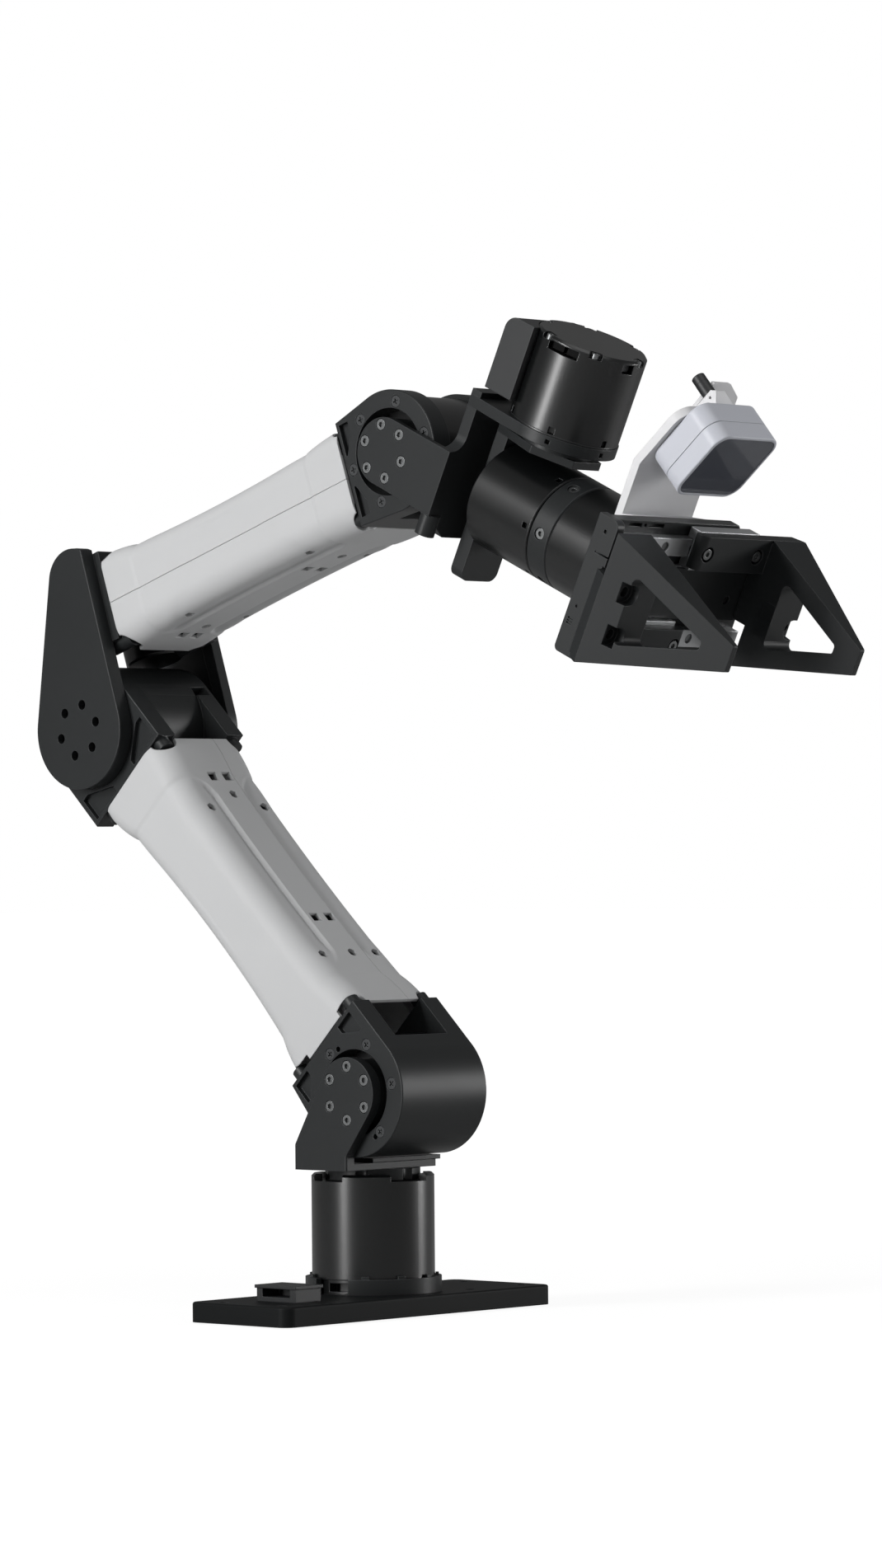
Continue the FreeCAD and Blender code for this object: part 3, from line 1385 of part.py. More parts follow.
for step in (-1, 0, 1):
    outline = slot_points(S.can_notch_angle + sized(60 * step), S.clamp_pocket_half,
                          S.clamp_radius - S.clamp_pocket_depth, S.clamp_radius * 2)
    clamp_pockets.append([(S.yaw_axis_reach + x, y) for x, y in outline])
cut_many(wrist_yoke, "clamp_pockets", "XY", S.clamp_pocket_low, S.clamp_pocket_high, clamp_pockets)
tongue_screws = circle_points(S.screw_count, S.hub_screw_circle, zero)
bore(wrist_yoke, "tongue_seats", "XZ", -S.tongue_outer, -S.tongue_outer + S.seat_depth, tongue_screws,
     S.seat_radius)
bore(wrist_yoke, "tongue_holes", "XZ", -S.tongue_outer, -S.tongue_inner, tongue_screws, S.shank_hole_radius)
screws_on_circle("wrist_hub_screws", wrist, -S.tongue_outer + (S.seat_depth - S.head_height),
                 S.hub_screw_circle, zero, hub_screw)

# Wrist yaw motor: mounting ring, can and cable box
yaw_ring = begin("yaw_motor_ring", wrist_yaw)
post(yaw_ring, "ring_disc", "XY", S.clamp_high, S.yaw_ring_top, [(0, 0)], S.small_motor_radius)
yaw_motor = begin("yaw_motor_housing", wrist_yaw)
turn(yaw_motor, "yaw_can", "XZ", "V_Axis", [
    (0, S.yaw_ring_top),
    (S.small_motor_radius, S.yaw_ring_top),
    (S.small_motor_radius, S.yaw_motor_top - S.motor_edge),
    (S.small_motor_radius - S.motor_edge, S.yaw_motor_top),
    (0, S.yaw_motor_top),
])
window_in = S.small_motor_radius - S.window_depth
window_out = S.small_motor_radius * 2
for label, angle, half in (
    ("wide", S.wide_window_angle, S.wide_window_half),
    ("small", S.small_window_angle, S.small_window_half),
):
    cut(yaw_motor, label + "_window", "XY", S.window_low, S.window_high,
        slot_points(angle, half, window_in, window_out))
notch = cut(yaw_motor, "can_notch", "XY", S.yaw_ring_top, S.yaw_ring_top + S.can_notch_height,
            slot_points(S.can_notch_angle, S.can_notch_half, S.small_motor_radius - S.can_notch_depth, window_out))
doc.recompute()
around(yaw_motor, "can_notches", notch, "Z_Axis", S.screw_count)
rim_notch_inner = S.small_motor_radius - S.rim_notch_depth
rim_notch = cut(yaw_motor, "rim_notch", "XY", S.yaw_motor_top - S.rim_notch_height, S.yaw_motor_top,
                slot_points(S.rim_notch_angle, S.rim_notch_half, rim_notch_inner, window_out))
doc.recompute()
around(yaw_motor, "rim_notches", rim_notch, "Z_Axis", S.screw_count)
cable_box = begin("yaw_cable_box", wrist_yaw)
pad(cable_box, "box_shell", "XY", S.yaw_box_low, S.yaw_box_high,
    box(-S.yaw_box_back, -S.yaw_box_front, -S.yaw_box_near, S.yaw_box_far))
soften(cable_box, "box_round", "Fillet", S.yaw_box_corner,
       lambda edge: along(edge, Vector(0, 1, 0)) and at_point(edge, -S.yaw_box_back, S.yaw_box_high, "xz"))
bore(cable_box, "box_motor_space", "XY", S.yaw_box_low, S.yaw_box_high, [(0, 0)], S.small_motor_radius)

# Output disc and the roll link under the yaw motor
yaw_disc = begin("yaw_output_disc", wrist_yaw)
turn(yaw_disc, "disc_profile", "XZ", "V_Axis", [
    (0, S.disc_low),
    (S.disc_radius, S.disc_low),
    (S.disc_radius, S.disc_high),
    (S.disc_neck_radius, S.disc_high),
    (S.disc_neck_radius, S.disc_neck_top),
    (0, S.disc_neck_top),
])
link = begin("roll_link", wrist)
pad(link, "link_plate", "YZ", S.link_back, S.link_front,
    box(-S.link_half_width, S.link_half_width, -S.link_low, S.disc_low))
soften(link, "link_corners", "Fillet", S.link_corner,
       lambda edge: along(edge, Vector(1, 0, 0)) and near_value(edge.CenterOfMass.z, -S.link_low))
pad(link, "link_flange", "XY", S.link_flange_low, S.disc_low, [
    (S.link_back, -S.link_half_width),
    (S.yaw_axis_reach, -S.link_flange_radius),
    (S.link_tip_x, -S.link_tip_near),
    (S.link_tip_x, S.link_tip_far),
    (S.yaw_axis_reach, S.link_flange_radius),
    (S.link_back, S.link_half_width),
])
roll_motor = begin("roll_motor_housing", roll)
turn(roll_motor, "roll_can", "XY", "H_Axis", [
    (S.link_front, 0),
    (S.link_front, S.small_motor_radius - S.roll_motor_chamfer),
    (S.link_front + S.roll_motor_chamfer, S.small_motor_radius),
    (S.roll_motor_end - S.motor_edge / 2, S.small_motor_radius),
    (S.roll_motor_end, S.small_motor_radius - S.motor_edge / 2),
    (S.roll_motor_end, 0),
])

# Roll output ring with radial screws, and the gripper motor on it
ring = begin("roll_output_ring", roll)
turn(ring, "ring_profile", "XY", "H_Axis", [
    (S.ring_start, 0),
    (S.ring_start, S.small_motor_radius - S.ring_groove),
    (S.ring_start + S.ring_groove, S.small_motor_radius),
    (S.ring_end - S.ring_groove, S.small_motor_radius),
    (S.ring_end, S.small_motor_radius - S.ring_groove),
    (S.ring_end, 0),
])
ring_seat = bore(ring, "ring_seat", "XZ", -S.small_motor_radius - S.ring_groove,
                 -S.small_motor_radius + S.seat_depth, [(S.ring_screw_x, 0)], S.seat_radius)
doc.recompute()
around(ring, "ring_seats", ring_seat, "X_Axis", S.screw_count)
ring_screw_solids = []
for across, rise in circle_points(S.screw_count, S.small_motor_radius, sized(180)):
    inward = Vector(0, -across.value, -rise.value).normalize()
    sunk = S.ring_screw_sink.value
    reach = S.small_motor_radius.value - sunk
    start = Vector(S.ring_screw_x.value, 0, 0) - inward * reach
    head = Part.makeCylinder(S.head_radius.value, S.seat_depth.value - sunk, start, inward)
    corners = []
    level = Vector(1, 0, 0)
    upright = inward.cross(level)
    socket_reach = S.socket_width.value / math.sqrt(3)
    for index in range(7):
        angle = math.radians(60 * index)
        corners.append(start + level * socket_reach * math.cos(angle) + upright * socket_reach * math.sin(angle))
    socket = Part.Face(Part.makePolygon(corners)).extrude(inward * S.socket_depth.value)
    ring_screw_solids.append(head.cut(socket))
group("ring_screws", roll, ring_screw_solids)
gripper_motor = begin("gripper_motor_housing", roll)
turn(gripper_motor, "gripper_can", "XY", "H_Axis", [
    (S.ring_end, 0),
    (S.ring_end, S.small_motor_radius - S.motor_edge / 2),
    (S.ring_end + S.motor_edge / 2, S.small_motor_radius),
    (S.gripper_motor_end, S.small_motor_radius),
    (S.gripper_motor_end, 0),
])
bore(gripper_motor, "gripper_shaft_hole", "YZ", S.pinion_shaft_back - S.frame_thick, S.gripper_motor_end,
     [(0, 0)], S.pinion_shaft_radius + S.running_gap)

# Gripper frame with one end plate on the near side
frame_front = S.gripper_motor_end + S.frame_thick
frame = begin("gripper_frame", roll)
pad(frame, "frame_plate", "YZ", S.gripper_motor_end, frame_front, [
    (-S.frame_near, -S.frame_low),
    (S.frame_far, -S.frame_low),
    (S.frame_far, S.frame_high - S.frame_chamfer),
    (S.frame_far - S.frame_chamfer, S.frame_high),
    (-S.frame_near, S.frame_high),
])
end_outer = -S.frame_near - S.end_plate_thick
pad(frame, "end_plate", "XZ", end_outer, -S.frame_near,
    box(S.gripper_motor_end, S.end_plate_front, -S.end_plate_low, S.end_plate_high))
pad(frame, "end_lug", "XZ", end_outer, -S.frame_near,
    box(S.gripper_motor_end, S.lug_front, S.lug_low, S.end_plate_high))
soften(frame, "frame_rounds", "Fillet", S.arm_corner,
       lambda edge: along(edge, Vector(0, 1, 0)) and at_point(edge, S.lug_front, S.end_plate_high, "xz"))
bore(frame, "lug_hole", "XZ", end_outer, -S.frame_near, [(S.lug_hole_x, S.lug_hole_z)], S.lug_hole_radius)
bore(frame, "shaft_hole", "YZ", S.gripper_motor_end, frame_front, [(0, 0)], S.pinion_shaft_radius + S.running_gap)
cut_many(frame, "frame_slots", "YZ", frame_front - S.pocket_depth, frame_front, [
    box(S.outer_slot_start, S.outer_slot_end, S.frame_slot_low, S.frame_slot_high),
    box(S.inner_slot_start, S.inner_slot_end, S.frame_slot_low, S.frame_slot_high),
])
frame_dot = ((S.outer_slot_end + S.inner_slot_start) / 2, (S.frame_slot_low + S.frame_slot_high) / 2)
bore(frame, "frame_dot", "YZ", frame_front - S.pocket_depth, frame_front, [frame_dot], S.frame_dot_radius)
rail_front = frame_front + S.rail_height
rail_places = [-S.rail_screw_pitch * 2, -S.rail_screw_pitch, zero, S.rail_screw_pitch, S.rail_screw_pitch * 2]
rail_screw_solids = []
for label, level in (("upper", S.rail_v), ("lower", -S.rail_v)):
    rail = begin("guide_rail_" + label, roll)
    pad(rail, label + "_rail_bar", "YZ", frame_front, rail_front,
        box(-S.rail_half_length, S.rail_half_length, level - S.rail_half_width, level + S.rail_half_width))
    holes = []
    for place in rail_places:
        holes.append((place, level))
        head_at = Vector(rail_front.value - S.rail_screw_sink.value / 2, place.value, level.value)
        rail_screw_solids.append(Part.makeCylinder(
            S.rail_screw_radius.value, S.rail_screw_sink.value / 2, head_at, Vector(-1, 0, 0)))
    bore(rail, label + "_rail_holes", "YZ", rail_front - S.rail_screw_sink, rail_front, holes,
         S.rail_screw_radius + S.running_gap)
group("rail_screws", roll, rail_screw_solids)
gear_cover = begin("gear_cover", roll)
pad(gear_cover, "cover_sheet", "YZ", S.gear_cover_back, S.gear_cover_front,
    box(-S.gear_cover_side, S.gear_cover_side, -S.gear_cover_half, S.gear_cover_half))
post(gear_cover, "cover_posts", "YZ", frame_front, S.gear_cover_back,
     [(-S.gear_cover_post_y, 0), (S.gear_cover_post_y, 0)], S.gear_cover_post_radius)
bore(gear_cover, "cover_hole", "YZ", S.gear_cover_back, S.gear_cover_front,
     [(S.gear_cover_hole_y, S.gear_cover_hole_z)], S.gear_cover_hole_radius)

# Pinion with involute flanks, and the two racks that run on it
module = S.gear_module.value
teeth = int(S.pinion_teeth.value)
pressure = math.radians(S.pressure_angle.value)
tooth_rise = module * S.tooth_rise.value
tooth_root = module * S.tooth_root.value
pitch_radius = module * teeth / 2
tip_radius = pitch_radius + tooth_rise
root_radius = pitch_radius - tooth_root
base_radius = pitch_radius * math.cos(pressure)
half_tooth = math.pi / (2 * teeth) - S.gear_backlash.value / (2 * pitch_radius)


def involute(radius):
    lean = math.acos(min(1.0, base_radius / max(radius, base_radius)))
    return math.tan(lean) - lean


pinion_points = []
flank_steps = 5
for tooth in range(teeth):
    centre = 2 * math.pi * tooth / teeth
    flank = []
    for step in range(flank_steps + 1):
        radius = root_radius + (tip_radius - root_radius) * step / flank_steps
        flank.append((radius, half_tooth + involute(pitch_radius) - involute(radius)))
    for radius, lean in flank:
        pinion_points.append(Vector(0, radius * math.cos(centre - lean), radius * math.sin(centre - lean)))
    for radius, lean in reversed(flank):
        pinion_points.append(Vector(0, radius * math.cos(centre + lean), radius * math.sin(centre + lean)))
pinion_points.append(pinion_points[0])
pinion_face = Part.Face(Part.makePolygon(pinion_points))
pinion_width = S.pinion_front.value - S.pinion_back.value
pinion_face.translate(Vector(S.pinion_back.value, 0, 0))
pinion_wheel = pinion_face.extrude(Vector(pinion_width, 0, 0))
shaft_length = S.pinion_front.value - S.pinion_shaft_back.value
pinion_shaft = Part.makeCylinder(
    S.pinion_shaft_radius.value, shaft_length, Vector(S.pinion_shaft_back.value, 0, 0), Vector(1, 0, 0))
group("drive_pinion", roll, [pinion_wheel.fuse(pinion_shaft).removeSplitter()])

rack_back = S.rail_v.value - S.carriage_half.value
rack_tip = pitch_radius - tooth_rise
rack_root = pitch_radius + tooth_root
rack_half = math.pi * module / 4 - S.gear_backlash.value / 2
rack_lean = math.tan(pressure)
rack_points = [Vector(0, -S.rack_inner.value, rack_back), Vector(0, -S.rack_inner.value, rack_root)]
for tooth in range(int(S.rack_tooth_count.value)):
    centre = math.pi * module * (tooth + S.rack_first_tooth.value)
    wide = rack_half + (rack_root - pitch_radius) * rack_lean
    slim = rack_half - (pitch_radius - rack_tip) * rack_lean
    rack_points.append(Vector(0, centre - wide, rack_root))
    rack_points.append(Vector(0, centre - slim, rack_tip))
    rack_points.append(Vector(0, centre + slim, rack_tip))
    rack_points.append(Vector(0, centre + wide, rack_root))
rack_points.append(Vector(0, S.rack_outer.value, rack_root))
rack_points.append(Vector(0, S.rack_outer.value, rack_back))
rack_points.append(rack_points[0])
rack_face = Part.Face(Part.makePolygon(rack_points))
rack_face.translate(Vector(S.pinion_back.value, 0, 0))
rack_solid = rack_face.extrude(Vector(pinion_width, 0, 0))


# One finger with its carriage; the other is the same piece turned half round
for label, spot in (("far", roll), ("near", far_roll)):
    carriage = begin(label + "_carriage", spot)
    pad(carriage, label + "_carriage_block", "YZ", S.carriage_back, S.carriage_front,
        box(-S.carriage_inner, S.carriage_outer, S.rail_v - S.carriage_half, S.rail_v + S.carriage_half))
    rail_gap = S.rail_half_width + S.running_gap
    cut(carriage, label + "_carriage_slot", "YZ", S.carriage_back, rail_front + S.running_gap,
        box(-S.carriage_inner, S.carriage_outer, S.rail_v - rail_gap, S.rail_v + rail_gap))
    group(label + "_rack", spot, [rack_solid.copy()])
    finger = begin(label + "_finger", spot)
    pad(finger, label + "_blade", "XZ", S.finger_open, S.finger_outer, [
        (S.finger_base, -S.finger_base_half),
        (S.finger_tip, -S.finger_tip_half),
        (S.finger_tip, S.finger_tip_half),
        (S.finger_base, S.finger_base_half),
    ])
    cut(finger, label + "_blade_taper", "XY", -S.finger_outer, S.finger_outer, [
        (S.finger_base, S.finger_outer),
        (S.finger_tip, S.finger_tip_outer),
        (S.finger_tip + S.finger_edge, S.finger_tip_outer),
        (S.finger_tip + S.finger_edge, S.finger_outer + S.finger_edge),
        (S.finger_base, S.finger_outer + S.finger_edge),
    ])
    soften(finger, label + "_blade_edges", "Fillet", S.finger_edge,
           lambda edge: near_value(edge.BoundBox.XMin, S.finger_tip)
           and near_value(edge.BoundBox.XMax, S.finger_tip) and along(edge, Vector(0, 1, 0)))
    pad(finger, label + "_block", "YZ", S.block_back, S.finger_base,
        box(S.finger_open, S.finger_outer, -S.block_low, S.block_high))
    pad(finger, label + "_arm", "YZ", S.carriage_front, S.arm_front,
        box(-S.arm_inner, S.finger_outer, S.arm_low, S.arm_high - S.running_gap))
    soften(finger, label + "_arm_corner", "Fillet", S.arm_corner,
           lambda edge: along(edge, Vector(0, 0, 1)) and at_point(edge, S.arm_front, -S.arm_inner, "xy"))
    cut(finger, label + "_window", "XZ", S.finger_open, S.finger_outer, [
        (S.finger_window_back, -S.finger_window_half),
        (S.finger_window_tip, -S.finger_window_tip_half),
        (S.finger_window_tip, S.finger_window_tip_half),
        (S.finger_window_back, S.finger_window_half),
    ])
    soften(finger, label + "_window_corners", "Fillet", S.finger_window_corner,
           lambda edge: along(edge, Vector(0, 1, 0)) and near_value(edge.CenterOfMass.x, S.finger_window_back)
           and near_value(abs(edge.CenterOfMass.z), S.finger_window_half))
    soften(finger, label + "_window_tip", "Fillet", S.finger_tip_corner,
           lambda edge: along(edge, Vector(0, 1, 0)) and near_value(edge.CenterOfMass.x, S.finger_window_tip)
           and near_value(abs(edge.CenterOfMass.z), S.finger_window_tip_half))
    cut(finger, label + "_back_chamfer", "XY", -S.finger_outer, S.finger_outer, [
        (S.block_back, S.finger_outer - S.finger_chamfer_in),
        (S.block_back + S.finger_chamfer_along, S.finger_outer),
        (S.block_back + S.finger_chamfer_along, S.finger_outer + S.finger_edge),
        (S.block_back, S.finger_outer + S.finger_edge),
    ])
    cut_many(finger, label + "_pockets", "XZ", S.finger_open, S.finger_outer, [
        box(S.finger_pocket_back, S.finger_window_back, S.finger_pocket_low, S.finger_pocket_high),
        box(S.finger_pocket_back, S.finger_window_back, -S.finger_pocket_high, -S.finger_pocket_low),
    ])
    arm_holes = [(S.arm_hole_one, S.arm_hole_v), (S.arm_hole_two, S.arm_hole_v)]
    seat_floor = S.arm_front - S.finger_seat_depth
    bore(finger, label + "_arm_seats", "YZ", seat_floor, S.arm_front, arm_holes, S.finger_seat_radius)
    bore(finger, label + "_arm_holes", "YZ", S.carriage_front, S.arm_front, arm_holes, S.shank_hole_radius)
    finger_screws = []
    for place, level in arm_holes:
        head_at = Vector(seat_floor.value + S.head_height.value, sized(place).value, level.value)
        shank = S.arm_front - S.finger_seat_depth - S.carriage_front
        finger_screws.append(socket_screw(
            head_at, Vector(-1, 0, 0), S.head_radius, S.head_height, S.shank_radius, shank))
    group(label + "_finger_screws", spot, finger_screws)

# Camera bracket, bent forward above the gripper motor
lean = S.wrist_angle - S.camera_angle
camera_bracket = begin("camera_bracket", roll)
bracket_back = S.bracket_front - S.bracket_thick
lean_x = S.bracket_lean_length * sine(lean)
lean_z = S.bracket_lean_length * cosine(lean)
bend_half = S.bracket_thick * sine(lean / 2) / cosine(lean / 2)
pad(camera_bracket, "bracket_sheet", "XZ", -S.bracket_half_width, S.bracket_half_width, [
    (bracket_back, S.bracket_foot_low),
    (S.gripper_motor_end, S.bracket_foot_low),
    (S.gripper_motor_end, S.bracket_toe_top),
    (S.bracket_front, S.bracket_heel_top),
    (S.bracket_front, S.bracket_bend),
    (S.bracket_front + lean_x, S.bracket_bend + lean_z),
    (S.bracket_front + lean_x - S.bracket_thick * cosine(lean),
     S.bracket_bend + lean_z + S.bracket_thick * sine(lean)),
    (bracket_back, S.bracket_bend + bend_half),
])


def top_corner(edge):
    return edge.BoundBox.ZMin > (S.bracket_bend + lean_z).value - 1 and edge.BoundBox.YLength < 0.1


soften(camera_bracket, "bracket_corners", "Fillet", S.bracket_corner, top_corner)
bore(camera_bracket, "motor_saddle", "YZ", S.ring_end, S.gripper_motor_end, [(0, 0)],
     S.small_motor_radius + S.camera_seat_gap)

# Camera: back case, front case, window, clip and plug
bend_rise = S.bracket_bend + S.roll_axis_rise
camera_back = S.bracket_front * cosine(lean) - bend_rise * sine(lean) + S.camera_seat_gap
camera_split = camera_back + S.camera_back_depth
camera_front = camera_back + S.camera_depth
camera_near = S.camera_y - S.camera_half_width
camera_far = S.camera_y + S.camera_half_width
bracket_top = S.bracket_front * sine(lean) + bend_rise * cosine(lean) + S.bracket_lean_length
case_back = begin("camera_back_case", camera)
rounded_pad(case_back, "back_shell", "YZ", camera_back, camera_split, camera_near, camera_far,
            S.camera_low, S.camera_high, S.camera_corner)
soften(case_back, "back_edges", "Fillet", S.camera_edge, lambda edge: near_value(edge.BoundBox.XMax, camera_back))
pad(case_back, "side_tab", "YZ", camera_back + S.camera_edge, camera_split,
    box(camera_far - S.camera_edge, camera_far + S.tab_reach, S.tab_low, S.tab_high))
pad(case_back, "tab_end", "YZ", camera_split, S.tab_front,
    box(camera_far + S.tab_gap, camera_far + S.tab_reach, S.tab_low, S.tab_high))
case_front = begin("camera_front_case", camera)
rounded_pad(case_front, "front_shell", "YZ", camera_split + S.camera_split_gap, camera_front,
            camera_near, camera_far, S.camera_low, S.camera_high, S.camera_corner)
soften(case_front, "front_edges", "Fillet", S.window_sink,
       lambda edge: near_value(edge.BoundBox.XMin, camera_front))
rounded_cut(case_front, "window_seat", "YZ", camera_front - S.window_sink, camera_front,
            camera_near + S.window_margin, camera_far - S.window_margin,
            S.camera_low + S.window_margin, S.camera_high - S.window_margin, S.camera_corner - S.window_margin)
glass = begin("camera_window", camera)
rounded_pad(glass, "window_sheet", "YZ", camera_front - S.window_sink, camera_front - S.window_proud,
            camera_near + S.window_margin, camera_far - S.window_margin,
            S.camera_low + S.window_margin, S.camera_high - S.window_margin, S.camera_corner - S.window_margin)

# Clip behind the bracket, rising over its top edge and narrowing to its peak
clip_seat = camera_back - S.camera_seat_gap - S.bracket_thick - S.camera_seat_gap
clip_rest = bracket_top + S.camera_seat_gap
clip = begin("camera_clip", camera)
pad(clip, "clip_wedge", "XZ", S.clip_near, S.clip_far, [
    (S.clip_back, S.clip_foot),
    (clip_seat, S.clip_foot),
    (clip_seat, clip_rest),
    (S.clip_front, clip_rest),
    (S.clip_peak_front, S.clip_top),
    (S.clip_back, S.clip_back_top),
])
cut(clip, "clip_slope", "YZ", S.clip_back - S.clip_hole_depth, S.clip_front + S.clip_hole_depth, [
    (S.clip_far, S.clip_slope_low),
    (S.clip_far + S.clip_hole_depth, S.clip_slope_low),
    (S.clip_far + S.clip_hole_depth, S.clip_top + S.clip_hole_depth),
    (S.clip_peak_far, S.clip_top + S.clip_hole_depth),
    (S.clip_peak_far, S.clip_top),
])
bore(clip, "clip_holes", "XZ", S.clip_near, S.clip_near + S.clip_hole_depth,
     [(S.clip_hole_x, S.clip_hole_low), (S.clip_hole_x, S.clip_hole_high)], S.clip_hole_radius)
plug_end = S.clip_back + S.plug_seat
bore(clip, "plug_seat", "YZ", S.clip_back, plug_end, [(S.plug_y, S.plug_height)], S.plug_radius + S.plug_gap)
plug = begin("camera_plug", camera)
post(plug, "plug_barrel", "YZ", S.clip_back - S.plug_length, plug_end, [(S.plug_y, S.plug_height)], S.plug_radius)

doc.recompute()
failed = []
for item in doc.Objects:
    if "Invalid" in item.State or "Error" in item.State:
        failed.append(item.Name + " " + item.getStatusString())
for part in pieces:
    if part.Shape.isNull() or not part.Shape.isValid():
        failed.append(part.Label)
if failed:
    raise RuntimeError("pieces that did not build: " + ", ".join(failed))
for part in pieces:
    part.Shape.exportStep("parts/" + part.Label + ".step")
    print(part.Label, len(part.Shape.Solids), round(part.Shape.Volume))
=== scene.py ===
import json
import math

import bmesh
import bpy
from mathutils import Matrix, Vector


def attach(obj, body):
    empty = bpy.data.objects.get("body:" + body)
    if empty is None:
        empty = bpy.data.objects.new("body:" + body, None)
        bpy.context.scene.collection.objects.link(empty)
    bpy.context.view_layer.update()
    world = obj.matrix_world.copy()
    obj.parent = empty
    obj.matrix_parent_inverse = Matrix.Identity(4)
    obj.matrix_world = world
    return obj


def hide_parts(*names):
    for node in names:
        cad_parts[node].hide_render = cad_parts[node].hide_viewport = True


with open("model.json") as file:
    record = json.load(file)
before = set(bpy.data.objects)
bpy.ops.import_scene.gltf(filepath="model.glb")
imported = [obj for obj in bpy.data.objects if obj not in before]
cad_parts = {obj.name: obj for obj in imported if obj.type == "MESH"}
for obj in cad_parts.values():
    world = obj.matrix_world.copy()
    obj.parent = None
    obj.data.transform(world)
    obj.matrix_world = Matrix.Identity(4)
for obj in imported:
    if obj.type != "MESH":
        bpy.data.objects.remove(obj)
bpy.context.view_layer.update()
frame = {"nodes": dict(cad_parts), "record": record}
scene = bpy.context.scene
millimetre = 0.001
print("frame loaded")


# Node with its settings, and its input values by socket name or number
def addNode(tree, kind, values=None, **settings):
    made = tree.nodes.new(kind)
    for key, value in settings.items():
        setattr(made, key, value)
    for socket, value in (values or {}).items():
        made.inputs[socket].default_value = value
    return made


# Links, one row each: source node and output, target node and input
def wire(tree, *rows):
    for source, output, target, socket in rows:
        tree.links.new(source.outputs[output], target.inputs[socket])


# Empty node group with its sockets, its input node and its output node
def newGroup(name, kind, inputs, outputs):
    group = bpy.data.node_groups.new(name, kind)
    for label, socketKind, value in inputs:
        socket = group.interface.new_socket(label, in_out="INPUT", socket_type=socketKind)
        if value is not None:
            socket.default_value = value
    for label, socketKind in outputs:
        group.interface.new_socket(label, in_out="OUTPUT", socket_type=socketKind)
    return group, addNode(group, "NodeGroupInput"), addNode(group, "NodeGroupOutput")


# Fine grain: a fast wander for bump height and a slow one for colour and roughness
grainForm = {"scale": 900.0, "drift": 12.0, "fineDetail": 3.0, "cloudDetail": 4.0}


def grainGroup(form):
    group, entry, leave = newGroup(
        "fineGrain", "ShaderNodeTree",
        [("Scale", "NodeSocketFloat", form["scale"]), ("Drift", "NodeSocketFloat", form["drift"])],
        [("Grain", "NodeSocketFloat"), ("Cloud", "NodeSocketFloat")],
    )
    place = addNode(group, "ShaderNodeTexCoord")
    fine = addNode(group, "ShaderNodeTexNoise", {"Detail": form["fineDetail"]})
    cloud = addNode(group, "ShaderNodeTexNoise", {"Detail": form["cloudDetail"]})
    wire(
        group,
        (place, "Object", fine, "Vector"), (place, "Object", cloud, "Vector"),
        (entry, "Scale", fine, "Scale"), (entry, "Drift", cloud, "Scale"),
        (fine, "Fac", leave, "Grain"), (cloud, "Fac", leave, "Cloud"),
    )
    return group


# Edge mask: high where the surface turns sharply, which places a painted edge highlight, with the rounded
# normal there
edgeForm = {"width": 0.0006, "samples": 6, "flat": 0.999, "turned": 0.9}


def edgeGroup(form):
    group, entry, leave = newGroup(
        "edgeMask", "ShaderNodeTree",
        [("Width", "NodeSocketFloat", form["width"])],
        [("Mask", "NodeSocketFloat"), ("Rounded", "NodeSocketVector")],
    )
    bevel = addNode(group, "ShaderNodeBevel", samples=form["samples"])
    plain = addNode(group, "ShaderNodeNewGeometry")
    dot = addNode(group, "ShaderNodeVectorMath", operation="DOT_PRODUCT")
    ramp = addNode(group, "ShaderNodeMapRange", {"From Min": form["flat"], "From Max": form["turned"]})
    wire(
        group,
        (entry, "Width", bevel, "Radius"), (bevel, "Normal", dot, 0), (plain, "Normal", dot, 1),
        (dot, "Value", ramp, "Value"), (ramp, "Result", leave, "Mask"), (bevel, "Normal", leave, "Rounded"),
    )
    return group


fineGrain = grainGroup(grainForm)
edgeMask = edgeGroup(edgeForm)

# What a look has where its own row says nothing
plainLook = {"metallic": 0.0, "specular": 0.5, "grainHeight": 0.05, "grainDepth": 0.0002,
             "edgeWidth": edgeForm["width"], "edgeHighlightAmount": 0.3, "wander": 0.08, "roughWander": 0.04}
mixShare, mixFirst, mixSecond, mixResult = 0, 6, 7, 2  # sockets of a colour mix node
